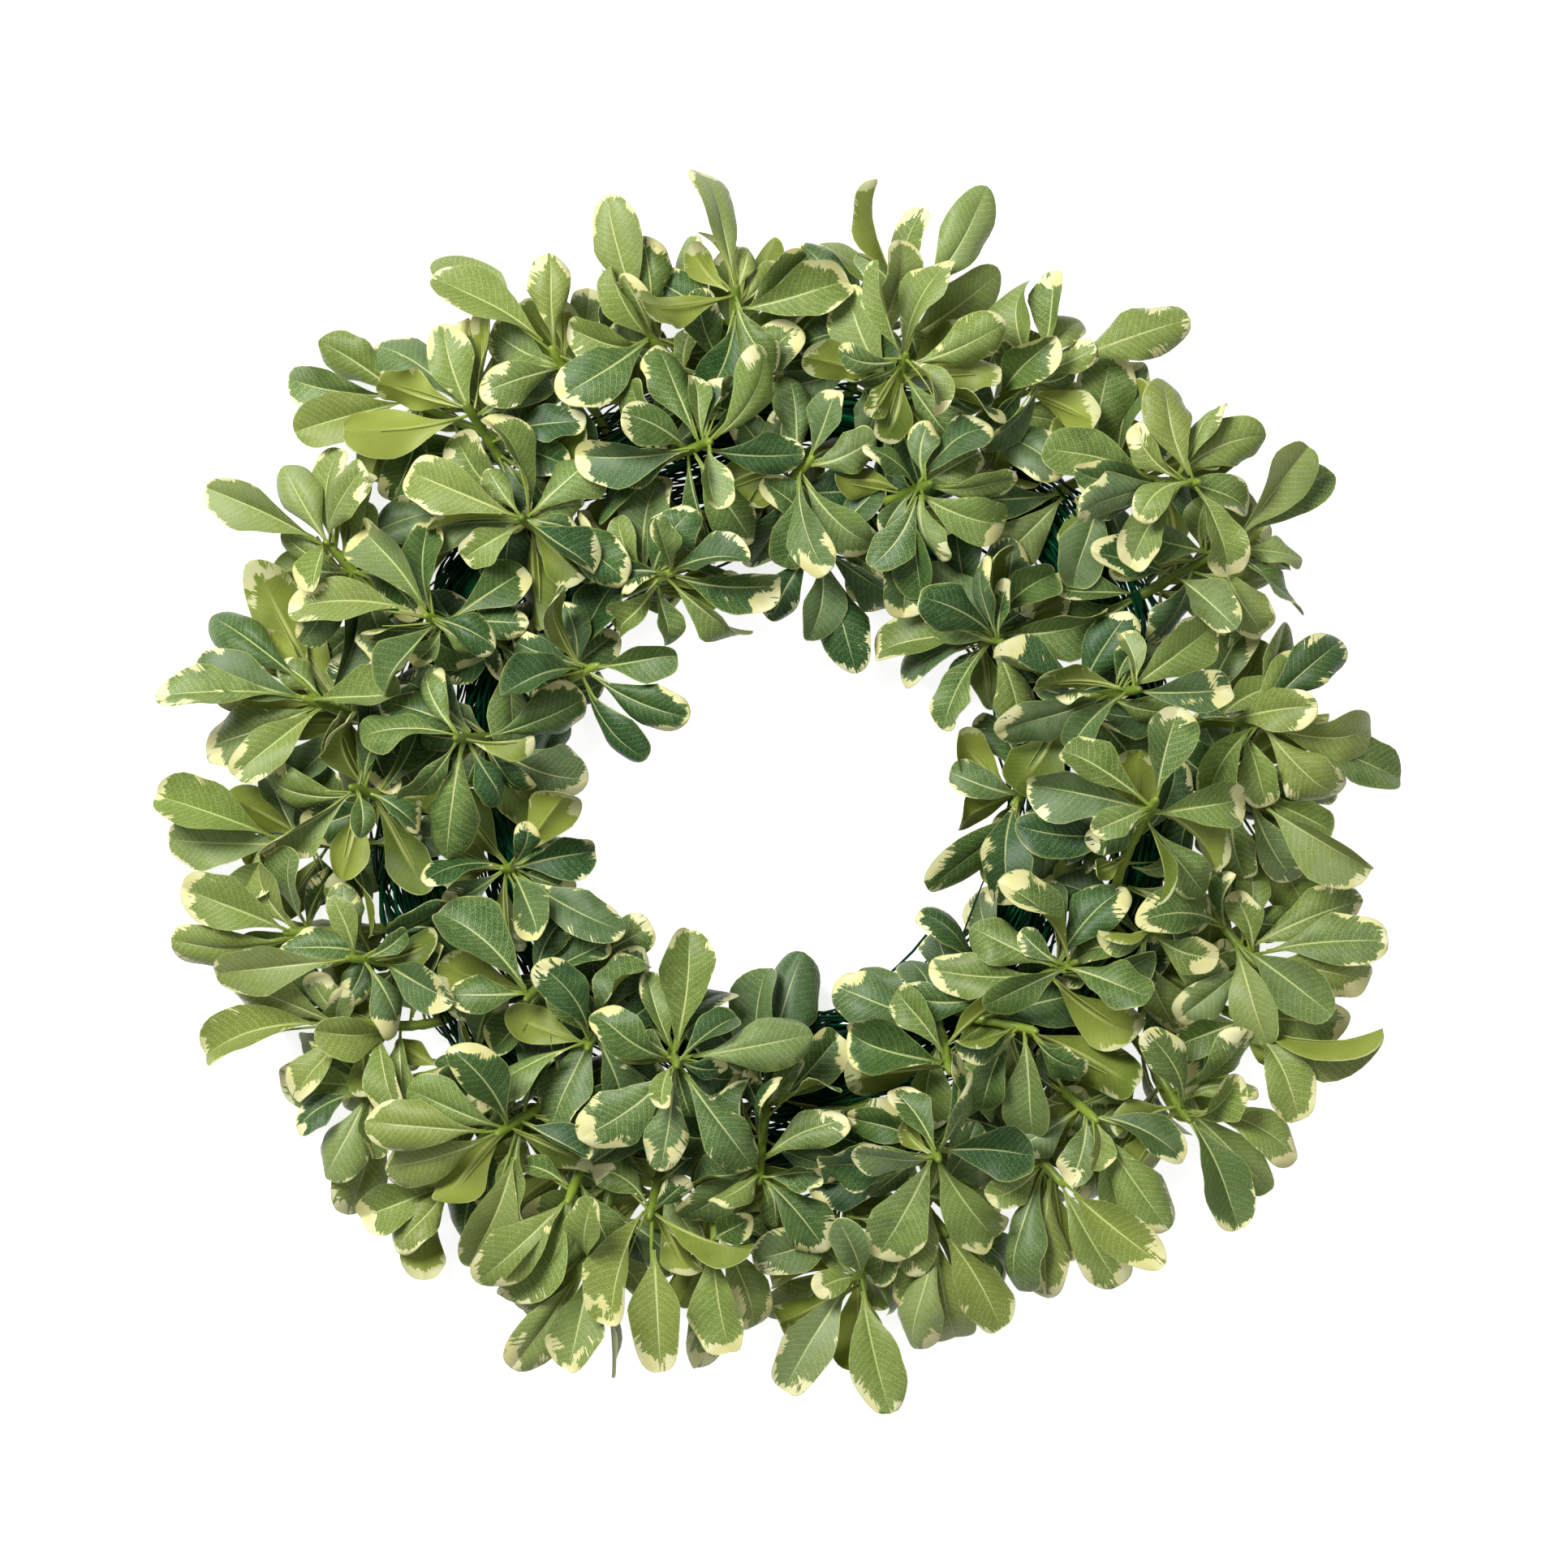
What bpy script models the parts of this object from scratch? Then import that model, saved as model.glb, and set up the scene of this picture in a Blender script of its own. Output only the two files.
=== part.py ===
"""Artificial pittosporum wreath, lying on its back with its face up.

Metres, +Z up. The wreath is laid out round the centre of its two hoops and then moved, so that the middle of
its whole outline stands over the origin. Places in the tables are millimetres from the centre of the hoops:
x to the right, y to the top of the wreath and z up from the surface that it lies on.
"""

from math import cos, pi, radians, sin, sqrt
from random import Random

import bmesh
import bpy
from mathutils import Quaternion, Vector
from mathutils.bvhtree import BVHTree

MM = 0.001

# Frame: two hoops of wire on short rungs
INNER_RADIUS = 134 * MM
OUTER_RADIUS = 184 * MM
HOOP_SEGMENTS = 24
WIRE_RADIUS = 1.6 * MM
WIRE_SIDES = 4
HOOP_HEIGHT = 3.8 * MM
RUNG_COUNT = 6
RUNG_WIDTH = 4 * MM
RUNG_HEIGHT = 3 * MM
RUNG_REACH = 6 * MM
FIRST_RUNG = 2.5

# Strand wraps: half of the section's outline, as (offset from the hoop, height), from the groove outwards
GROOVE_HALF = 2.1 * MM
GROOVE_TOP = 6 * MM
WRAP_BOTTOM = 3.4 * MM
WRAP_HALF_WIDTH = 11 * MM
WRAP_WAIST = 9 * MM
WRAP_SHOULDER_HALF = 8 * MM
WRAP_SHOULDER = 17 * MM
WRAP_TOP = 21 * MM
LOOSE_STRANDS = 4
STRAND_PIECES = 3
STRAND_SIDES = 3
STRAND_RADIUS = 1.1 * MM
STRAND_REACH = (40 * MM, 62 * MM)
STRAND_OFFSET = 6 * MM
STRAND_RISE = (7 * MM, 11 * MM)
STRAND_ROOT = 16 * MM

# Stems
STEM_FOOT_RADIUS = 3 * MM
STEM_TIP_RADIUS = 2.5 * MM
STEM_SIDES = 3
STEM_PIECES = 3
SEAT_GAP = 0.4 * MM
SEAT_MARGIN = 0.12
FOOT_SHIFTS = (0, 2, -2, 4, -4, 6, -6, 8, -8, 10, -10, 12, -12)
LOW_CROWN = 22 * MM
HIGH_CROWN = 74 * MM

# Leaves
LEAF_THICKNESS = 0.8 * MM
WIDEST_AT = 0.64
SHOULDER_AT = 0.88
SHOULDER_WIDTH = 0.745
ROOT_SUNK = 0.8 * MM
SHORTEST_REACH = 26 * MM
LEAF_WIDTH = (13 * MM, 30 * MM)
SLENDER = (0.46, 0.56)
BOW = (0.10, 0.26)
LOW_PITCH = 12
HIGH_PITCH = -10
PITCH_SPREAD = 9
ROLL_SPREAD = 32
TWIST_SPREAD = 16
FOLD = (8, 22)
EDGE_ROLL = (58, 78)
EDGE_TWIST = (20, 45)

# Where leaves grow
FIRST_LEAF = 3 * MM
LEAF_STEP = 3.4 * MM
LEAFY_SHARE = 0.8
LEAVES_A_SPRIG = 6
FILLER_REACH = (30 * MM, 50 * MM)
FILLER_TRIES = 24
SHORT_LEAF = 30
LONG_LEAF = 56
TIP_RISE = 4 * MM

# How leaves are kept clear: the bends that are tried, in millimetres, degrees and shares of the length
CLEARANCE = 0.45 * MM
OWN_CLEAR_FROM = 0.08
LOWEST_LEAF = 2.2 * MM
FARTHEST_LEAF = 322 * MM
RAISES = (0, 4, -4, 8, -8, 13, -13, 18, -18, 24, -24, 31, -31)
SWINGS = (0, 5, -5, 10, -10, 17, -17)
ROLLS = (0, 20, -20, 40, -40)
LENGTHS = (1, 0.88, 0.76)
BENDS_TRIED = 420
HOLE_X = (-41 * MM, 66 * MM)
HOLE_Y = (-66 * MM, 51 * MM)
SEED = 31
OUTER_PART = 1000

# Each sprig: the hoop it grows from, the bearing of its foot, the place of its crown and the places of its
# leaf tips. A leaf is face up unless it says that it shows its underside or its edge.
UNDER = "under"
EDGE = "edge"
LOW = "low"
SPRIGS = [
    ("outer", 157, (-224, 121, 32), [(-284, 148), (-246, 160), (-218, 168, EDGE), (-204, 142),
                                     (-240, 108)]),
    ("outer", 127, (-192, 196, 18), [(-246, 202), (-228, 222), (-240, 176)]),
    ("outer", 131, (-154, 188, 49), [(-198, 200, UNDER), (-212, 176, UNDER), (-130, 200), (-166, 228),
                                     (-202, 222)]),
    ("outer", 116, (-112, 216, 44), [(-112, 264), (-170, 248), (-108, 240, UNDER), (-142, 226),
                                     (-146, 200), (-172, 264), (-94, 200)]),
    ("outer", 133, (-126, 132, 66), [(-184, 156), (-144, 158), (-84, 168), (-96, 140), (-156, 112)]),
    ("inner", 152, (-173, 84, 60), [(-208, 128), (-172, 132), (-242, 88), (-180, 62), (-124, 108),
                                    (-124, 80)]),
    ("outer", 97, (-21, 246, 47), [(-36, 308), (-14, 268), (-40, 272), (36, 252), (-4, 234), (-44, 236)]),
    ("outer", 102, (-68, 228, 35), [(-86, 292), (-68, 274), (-84, 256), (-104, 228), (-44, 222)]),
    ("outer", 113, (-34, 169, 69), [(-4, 216), (-40, 204), (-60, 218), (12, 164), (-12, 120), (-30, 112)]),
    ("inner", 92, (16, 162, 47), [(28, 196), (48, 172), (48, 116), (6, 206)]),
    ("outer", 74, (62, 212, 64), [(28, 212), (84, 260), (112, 228), (92, 164)]),
    ("outer", 80, (64, 244, 34), [(44, 300, EDGE), (40, 264), (72, 286), (96, 300)]),
    ("inner", 72, (74, 149, 62), [(74, 180), (78, 110), (46, 108), (114, 128), (100, 166)]),
    ("outer", 60, (132, 208, 38), [(136, 256), (118, 252), (156, 216), (204, 232), (152, 194, UNDER),
                                   (158, 178, UNDER)]),
    ("outer", 46, (206, 150, 56), [(166, 216), (190, 202), (174, 178), (188, 162, UNDER), (144, 100),
                                   (172, 108), (216, 192), (240, 174), (234, 138)]),
    ("outer", 29, (226, 122, 43), [(260, 168), (280, 162), (260, 114), (240, 76), (176, 124), (212, 144)]),
    ("inner", 17, (176, 48, 64), [(168, 76), (108, 30), (222, 48), (216, 80), (196, 68)]),
    ("outer", 342, (184, -6, 74), [(196, 40), (138, 20), (150, -28), (232, -6), (212, -56)]),
    ("outer", 335, (186, -68, 50), [(130, -46), (138, -74), (216, -84), (180, -100), (198, -122),
                                    (148, -30, UNDER)]),
    ("outer", 9, (240, 32, 47), [(296, 28), (308, 4), (280, 74), (262, 66), (206, 32), (216, 10)]),
    ("outer", 0, (238, -6, 33), [(292, -40), (256, -48), (266, 8), (230, -46), (214, -38, UNDER),
                                 (260, -70)]),
    ("outer", 347, (236, -88, 34), [(292, -96), (300, -76), (290, -56), (272, -112), (240, -128)]),
    ("inner", 38, (111, 70, 47), [(46, 68), (70, 84), (58, 54), (80, 28), (120, 24), (164, 82)]),
    ("inner", 1, (116, -8, 34), [(86, 28, UNDER), (84, 8), (86, -18, UNDER), (72, -48), (156, -6)]),
    ("inner", 310, (146, -86, 53), [(74, -90), (100, -108), (118, -70), (92, -72), (170, -48)]),
    ("inner", 131, (-52, 106, 54), [(0, 100), (-16, 72), (-84, 76), (-52, 70), (-80, 134), (-60, 156)]),
    ("inner", 80, (16, 116, 37), [(-4, 82), (16, 72), (44, 58), (54, 104)]),
    ("inner", 170, (-158, 24, 72), [(-94, 44), (-94, 4), (-184, -8), (-176, 60), (-164, -36), (-134, -8)]),
    ("inner", 157, (-90, 60, 42), [(-50, 66), (-44, 34), (-66, 13, EDGE), (-106, 92)]),
    ("outer", 171, (-234, 44, 43), [(-306, 44), (-286, 60), (-286, 20), (-268, 6), (-284, 88),
                                    (-260, 112, UNDER), (-248, 82, UNDER), (-212, 68), (-214, 12)]),
    ("outer", 180, (-210, 0, 54), [(-256, -28), (-216, -46, UNDER), (-190, 34), (-174, -52, UNDER),
                                   (-260, 6)]),
    ("outer", 188, (-246, -28, 27), [(-308, -4), (-304, -26), (-272, -56), (-226, -62)]),
    ("outer", 200, (-244, -72, 30), [(-296, -50), (-262, -34), (-222, -40), (-302, -76), (-280, -102)]),
    ("outer", 206, (-212, -84, 49), [(-278, -92), (-214, -46), (-206, -104), (-186, -122)]),
    ("inner", 196, (-136, -40, 47), [(-132, -84, UNDER), (-90, -32), (-72, -62), (-104, 0, UNDER),
                                     (-166, -60)]),
    ("inner", 219, (-124, -104, 56), [(-168, -60), (-162, -102), (-104, -62), (-84, -78)]),
    ("outer", 215, (-222, -118, 32), [(-286, -132), (-272, -96), (-232, -92), (-242, -154),
                                      (-204, -154, UNDER)]),
    ("outer", 222, (-210, -152, 27), [(-240, -168), (-226, -194), (-200, -184), (-250, -146),
                                      (-214, -214), (-190, -126, UNDER)]),
    ("outer", 229, (-166, -200, 18), [(-208, -214), (-192, -228), (-176, -244, EDGE)]),
    ("outer", 234, (-138, -170, 56), [(-204, -164), (-182, -148), (-198, -188), (-166, -208, UNDER),
                                      (-154, -236), (-134, -218), (-102, -164)]),
    ("outer", 241, (-104, -204, 44), [(-152, -240), (-128, -186), (-108, -244), (-136, -254), (-84, -236)]),
    ("inner", 232, (-94, -128, 57), [(-136, -112, UNDER), (-154, -156), (-108, -92), (-76, -160),
                                     (-60, -104)]),
    ("inner", 248, (-50, -136, 74), [(-98, -172), (-58, -188), (-10, -188), (16, -122), (-72, -122),
                                     (-44, -70), (-66, -92), (-24, -96)]),
    ("outer", 247, (-94, -238, 32), [(-104, -288), (-84, -292, EDGE), (-66, -252), (-138, -284),
                                     (-128, -262)]),
    ("outer", 253, (-64, -212, 40), [(-92, -188), (-44, -244, UNDER), (-58, -288), (-72, -268)]),
    ("outer", 261, (-32, -226, 37), [(-24, -278), (-40, -288), (-10, -268), (-2, -226, EDGE)]),
    ("inner", 268, (-10, -194, 49), [(20, -188), (-2, -216), (-44, -192), (34, -164), (12, -82),
                                     (-8, -88)]),
    ("outer", 293, (78, -182, 69), [(56, -148), (60, -164, UNDER), (20, -174), (32, -190), (48, -232),
                                    (108, -224), (64, -242)]),
    ("outer", 279, (42, -248, 30), [(-4, -268, UNDER), (-4, -246, UNDER), (2, -298), (40, -292, UNDER),
                                    (54, -308)]),
    ("outer", 287, (82, -220, 40), [(62, -280), (110, -268), (88, -278)]),
    ("inner", 304, (84, -140, 52), [(30, -144, UNDER), (32, -122), (56, -100), (112, -160)]),
    ("inner", 320, (126, -120, 52), [(148, -144), (124, -174), (98, -132), (96, -158), (178, -150, UNDER)]),
    ("outer", 314, (156, -164, 47), [(192, -218), (172, -214), (144, -196), (114, -180), (180, -140)]),
    ("outer", 304, (140, -196, 38), [(168, -246), (188, -234), (132, -254), (112, -250), (104, -204)]),
    ("outer", 326, (202, -164, 49), [(224, -216), (256, -182), (166, -172, EDGE), (236, -148),
                                     (242, -200)]),
    ("outer", 334, (234, -118, 37), [(256, -164), (194, -128), (254, -136, UNDER), (282, -116),
                                     (294, -134, EDGE)]),
]


# Materials


def make_material(name, colour, roughness, metallic=0.0):
    """A Principled material of one colour."""
    material = bpy.data.materials.new(name)
    material.use_nodes = True
    shader = material.node_tree.nodes["Principled BSDF"]
    shader.inputs["Base Color"].default_value = (*colour, 1)
    shader.inputs["Roughness"].default_value = roughness
    shader.inputs["Metallic"].default_value = metallic
    return material


# Meshes


def add_object(name, points, faces, material=None):
    """A new object with this mesh, its faces turned outwards by the order of their points."""
    mesh = bpy.data.meshes.new(name)
    mesh.from_pydata([tuple(point) for point in points], [], faces)
    mesh.validate()
    if material:
        mesh.materials.append(material)
    made = bpy.data.objects.new(name, mesh)
    bpy.context.scene.collection.objects.link(made)
    return made


def fuse(base, others):
    """Joins the other objects to the base by one union, applies it and removes them."""
    group = bpy.data.collections.new(base.name + "_repeats")
    for other in others:
        for owner in other.users_collection:
            owner.objects.unlink(other)
        group.objects.link(other)
    bpy.context.scene.collection.children.link(group)
    union = base.modifiers.new("union", "BOOLEAN")
    union.operation = "UNION"
    union.operand_type = "COLLECTION"
    union.collection = group
    union.solver = "EXACT"
    graph = bpy.context.evaluated_depsgraph_get()
    fused = bpy.data.meshes.new_from_object(base.evaluated_get(graph))
    base.modifiers.clear()
    plain = base.data
    base.data = fused
    bpy.data.meshes.remove(plain)
    fused.name = base.name
    for other in others:
        bpy.data.objects.remove(other)
    bpy.data.collections.remove(group)
    keep_outer_body(fused)


def keep_outer_body(mesh):
    """Fills sealed hollows and drops loose scraps, by keeping only the body with the most points."""
    shape = bmesh.new()
    shape.from_mesh(mesh)
    left = set(shape.verts)
    bodies = []
    while left:
        reached = {left.pop()}
        edge = list(reached)
        while edge:
            near = {link.other_vert(point) for point in edge for link in point.link_edges}
            edge = list(near - reached)
            reached |= near
        left -= reached
        bodies.append(reached)
    bodies.sort(key=len)
    bmesh.ops.delete(shape, geom=[point for body in bodies[:-1] for point in body], context="VERTS")
    shape.to_mesh(mesh)
    shape.free()


def tube(points, radii, sides, up, start=None):
    """Points and faces of a closed tube along these points, its first end square to start, if given."""
    count = len(points)
    corners = []
    for place, point in enumerate(points):
        before = points[max(place - 1, 0)]
        after = points[min(place + 1, count - 1)]
        along = start if start is not None and place == 0 else (after - before).normalized()
        up = (up - along * up.dot(along)).normalized()
        side = along.cross(up)
        for corner in range(sides):
            turn = 2 * pi * (corner + 0.5) / sides
            corners.append(point + radii[place] * (up * cos(turn) + side * sin(turn)))
    faces = [tuple(range(sides))[::-1], tuple(range((count - 1) * sides, count * sides))]
    for ring in range(count - 1):
        for corner in range(sides):
            a = ring * sides + corner
            b = ring * sides + (corner + 1) % sides
            faces.append((a, b, b + sides, a + sides))
    return corners, faces


def turned_ring(radius, outline):
    """Points and faces of a ring: a section's outline, counterclockwise as (offset, height), set round Z."""
    size = len(outline)
    points = []
    faces = []
    for station in range(HOOP_SEGMENTS):
        bearing = 2 * pi * station / HOOP_SEGMENTS
        for offset, height in outline:
            reach = radius + offset
            points.append(Vector((reach * cos(bearing), reach * sin(bearing), height)))
        after = (station + 1) % HOOP_SEGMENTS
        for corner in range(size):
            following = (corner + 1) % size
            faces.append((station * size + corner, station * size + following,
                          after * size + following, after * size + corner))
    return points, [face[::-1] for face in faces]


# Wire frame


def make_rung(bearing):
    """A flat bar under both hoops, from inside the inner one to outside the outer one."""
    ends = (INNER_RADIUS - RUNG_REACH, OUTER_RADIUS + RUNG_REACH)
    out = Vector((cos(bearing), sin(bearing), 0))
    side = Vector((-sin(bearing), cos(bearing), 0)) * RUNG_WIDTH / 2
    points = [out * end + side * hand + Vector((0, 0, height))
              for height in (0, RUNG_HEIGHT) for end in ends for hand in (-1, 1)]
    faces = [(0, 1, 3, 2), (4, 6, 7, 5), (0, 4, 5, 1), (2, 3, 7, 6), (0, 2, 6, 4), (1, 5, 7, 3)]
    return add_object("rung", points, faces)


def make_wire_frame(material):
    """The two hoops, each pressed a little into the rungs that are welded under them."""
    turns = [2 * pi * corner / WIRE_SIDES + pi / 2 for corner in range(WIRE_SIDES)]
    section = [(WIRE_RADIUS * cos(turn), HOOP_HEIGHT + WIRE_RADIUS * sin(turn)) for turn in turns]
    frame = add_object("wire_frame", *turned_ring(INNER_RADIUS, section), material)
    others = [add_object("hoop", *turned_ring(OUTER_RADIUS, section))]
    for rung in range(RUNG_COUNT):
        others.append(make_rung(2 * pi * (rung / RUNG_COUNT + FIRST_RUNG / HOOP_SEGMENTS)))
    fuse(frame, others)
    return frame


# Strand wraps


def wrap_outline():
    """The section of a strand wrap, open under its hoop, counterclockwise."""
    right = [
        (GROOVE_HALF, GROOVE_TOP),
        (GROOVE_HALF, WRAP_BOTTOM),
        (WRAP_HALF_WIDTH, WRAP_WAIST),
        (WRAP_SHOULDER_HALF, WRAP_SHOULDER),
    ]
    left = [(-offset, height) for offset, height in reversed(right)]
    return right + [(0, WRAP_TOP)] + left


def loose_strand(radius, draw):
    """Points and faces of one strand that leaves the wrap, arches along it and goes back in."""
    start = draw.uniform(0, 2 * pi)
    sweep = draw.uniform(*STRAND_REACH) / radius
    side = draw.uniform(-STRAND_OFFSET, STRAND_OFFSET)
    rise = draw.uniform(*STRAND_RISE)
    points = []
    for step in range(STRAND_PIECES + 1):
        part = step / STRAND_PIECES
        bearing = start + sweep * part
        reach = radius + side * (1 - part / 2)
        height = STRAND_ROOT + rise * sin(pi * part)
        points.append(Vector((reach * cos(bearing), reach * sin(bearing), height)))
    return tube(points, [STRAND_RADIUS] * (STRAND_PIECES + 1), STRAND_SIDES, Vector((0, 0, 1)))


def make_strand_wrap(name, radius, material, draw):
    """A bundle of strands along one hoop, with some of its strands standing off it."""
    wrap = add_object(name, *turned_ring(radius, wrap_outline()), material)
    strands = [add_object("strand", *loose_strand(radius, draw)) for _ in range(LOOSE_STRANDS)]
    fuse(wrap, strands)
    return wrap


# Stems


def seat(radius, bearing, crown):
    """The place on a wrap's top at this bearing that looks most towards the crown, and its normal."""
    step = 2 * pi / HOOP_SEGMENTS
    station = int(bearing / step)
    part = min(max(bearing / step - station, SEAT_MARGIN), 1 - SEAT_MARGIN)
    outline = wrap_outline()
    best = None
    for corner in range(2, 6):
        ends = []
        for turn in (station * step, (station + 1) * step):
            for offset, height in (outline[corner], outline[corner + 1]):
                ends.append(Vector(((radius + offset) * cos(turn), (radius + offset) * sin(turn), height)))
        low = ends[0].lerp(ends[2], part)
        high = ends[1].lerp(ends[3], part)
        place = low.lerp(high, 0.5)
        normal = (ends[2] - ends[0]).cross(ends[1] - ends[0]).normalized()
        if normal.z < 0:
            normal = -normal
        look = normal.dot((crown - place).normalized())
        if best is None or look > best[0]:
            best = (look, place, normal)
    return best[1], best[2]


def height_share(crown):
    """How high a crown stands, from 0 among the lowest to 1 among the highest."""
    return min(max((crown.z - LOW_CROWN) / (HIGH_CROWN - LOW_CROWN), 0), 1)


def stem_points(radius, bearing, crown):
    """The stem's points: off its seat at a right angle, then round to the crown."""
    place, normal = seat(radius, bearing, crown)
    foot = place + normal * SEAT_GAP
    way = crown - foot
    lift = height_share(crown)
    level = Vector((way.x, way.y, 0))
    level = level.normalized() if level.length > 4 * MM else Vector((0, 0, 0))
    end = (level * (1 - 0.7 * lift) + Vector((0, 0, 0.15 + lift))).normalized()
    near = foot + normal * way.length * 0.36
    far = crown - end * way.length * 0.34
    points = [foot]
    for step in range(1, STEM_PIECES + 1):
        s = step / STEM_PIECES
        r = 1 - s
        points.append(r ** 3 * foot + 3 * s * r ** 2 * near + 3 * s ** 2 * r * far + s ** 3 * crown)
    return points, normal


def point_back(points, back):
    """The place on the stem at this distance from its crown, and the way the stem runs there."""
    for place in range(len(points) - 1, 0, -1):
        piece = points[place] - points[place - 1]
        if back <= piece.length or place == 1:
            return points[place] - piece.normalized() * min(back, piece.length), piece.normalized()
        back -= piece.length


def stem_tube(points, normal, grow=0.0):
    """Points and faces of the stem, thinner towards its crown."""
    radii = [STEM_FOOT_RADIUS + (STEM_TIP_RADIUS - STEM_FOOT_RADIUS) * place / STEM_PIECES + grow
             for place in range(STEM_PIECES + 1)]
    return tube(points, radii, STEM_SIDES, normal.orthogonal(), normal)


# Leaves


class Leaf:
    """One blade: its midrib is a curve from root to tip that bows towards its face."""

    def __init__(self, root, tip, roll, bow, twist, fold, width, folded):
        self.root, self.tip, self.folded = root, tip, folded
        self.roll, self.bow, self.twist, self.fold, self.width = roll, bow, twist, fold, width
        along = (tip - root).normalized()
        face = Vector((0, 0, 1)) - along * along.z
        self.face = Quaternion(along, roll) @ face.normalized()
        self.crown = (root + tip) / 2 + self.face * bow * (tip - root).length

    def place(self, s, t, lift=0.0):
        """The point at s along the blade and t across it, in widest halves, lifted off its middle surface."""
        point = (1 - s) ** 2 * self.root + 2 * s * (1 - s) * self.crown + s * s * self.tip
        along = ((1 - s) * (self.crown - self.root) + s * (self.tip - self.crown)).normalized()
        face = (self.face - along * self.face.dot(along)).normalized()
        face = Quaternion(along, self.twist * s) @ face
        side = along.cross(face)
        out = t * self.width / 2
        return point + side * out * cos(self.fold) + face * (abs(out) * sin(self.fold) + lift)


def blade(leaf, grow=0.0, start=0.0):
    """Points and faces of the blade from a narrow root, the same triangles on both faces."""
    widest = 1 + 2 * grow / leaf.width
    shoulder = SHOULDER_WIDTH * widest
    marks = [(start, 0), (WIDEST_AT, -widest), (WIDEST_AT, widest), (SHOULDER_AT, -shoulder),
             (SHOULDER_AT, shoulder), (1, 0), (WIDEST_AT, 0)]
    if leaf.folded:
        triangles = [(0, 1, 6), (0, 6, 2), (1, 3, 6), (6, 4, 2), (6, 3, 5), (6, 5, 4)]
    else:
        marks.pop()
        triangles = [(0, 1, 2), (1, 3, 2), (3, 4, 2), (3, 5, 4)]
    half = LEAF_THICKNESS / 2 + grow
    points = [leaf.place(s, t, lift) for lift in (half, -half) for s, t in marks]
    rim = [0, 1, 3, 5, 4, 2]
    size = len(marks)
    faces = [face[::-1] for face in triangles]
    faces += [tuple(corner + size for corner in face) for face in triangles]
    for place, corner in enumerate(rim):
        following = rim[(place + 1) % len(rim)]
        faces.append((corner, following, following + size))
        faces.append((corner, following + size, corner + size))
    return points, faces


# Keeping pieces clear of each other


class Placed:
    """What already stands, as trees of triangles with the boxes round them."""

    def __init__(self):
        self.items = []

    def add(self, points, faces, owner):
        low = [min(point[axis] for point in points) for axis in range(3)]
        high = [max(point[axis] for point in points) for axis in range(3)]
        self.items.append((low, high, BVHTree.FromPolygons(points, faces), owner))

    def hits(self, points, faces, wanted):
        """True where these faces cross a piece whose owner is wanted."""
        low = [min(point[axis] for point in points) for axis in range(3)]
        high = [max(point[axis] for point in points) for axis in range(3)]
        tree = None
        for other_low, other_high, other, owner in self.items:
            if any(low[axis] > other_high[axis] or high[axis] < other_low[axis] for axis in range(3)):
                continue
            if not wanted(owner):
                continue
            tree = tree or BVHTree.FromPolygons(points, faces)
            if tree.overlap(other):
                return True
        return False


def within_bounds(points):
    """True where a blade is off the surface, inside the wreath's reach and out of its hole."""
    for point in points:
        if point.z < LOWEST_LEAF or sqrt(point.x ** 2 + point.y ** 2) > FARTHEST_LEAF:
            return False
        if HOLE_X[0] < point.x < HOLE_X[1] and HOLE_Y[0] < point.y < HOLE_Y[1]:
            return False
    return True


def bends():
    """Ways to bend a leaf clear, as (raise, swing, roll, length), the slightest first."""
    ways = []
    for rise in RAISES:
        for swing in SWINGS:
            for roll in ROLLS:
                for length in LENGTHS:
                    cost = abs(rise) / 8 + abs(swing) / 7 + abs(roll) / 26 + (1 - length) / 0.09
                    ways.append((cost, rise * MM, radians(swing), radians(roll), length))
    ways.sort(key=lambda way: way[0])
    return [way[1:] for way in ways[:BENDS_TRIED]]


def leaf_slots(points):
    """Places for leaves on a stem, from its crown down, as (distance back, place, way)."""
    length = sum((after - before).length for before, after in zip(points, points[1:]))
    count = max(int((length * LEAFY_SHARE - FIRST_LEAF) / LEAF_STEP), LEAVES_A_SPRIG)
    return [(back, *point_back(points, back)) for back in (FIRST_LEAF + LEAF_STEP * k for k in range(count))]


def leaf_targets(number, crown, tips):
    """The tips of a sprig's leaves and how each looks, with more drawn in its widest gaps, lower down."""
    draw = Random(SEED * 1000 + number)
    targets = [(tip[0] * MM, tip[1] * MM, tip[2] if len(tip) > 2 else None) for tip in tips]
    while len(targets) < LEAVES_A_SPRIG:
        best = None
        for _ in range(FILLER_TRIES):
            bearing = draw.uniform(0, 2 * pi)
            reach = draw.uniform(*FILLER_REACH)
            x = crown.x + reach * cos(bearing)
            y = crown.y + reach * sin(bearing)
            room = min(sqrt((x - other[0]) ** 2 + (y - other[1]) ** 2) for other in targets)
            if best is None or room > best[0]:
                best = (room, x, y)
        targets.append((best[1], best[2], draw.choice([LOW, LOW, UNDER])))
    return targets


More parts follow.
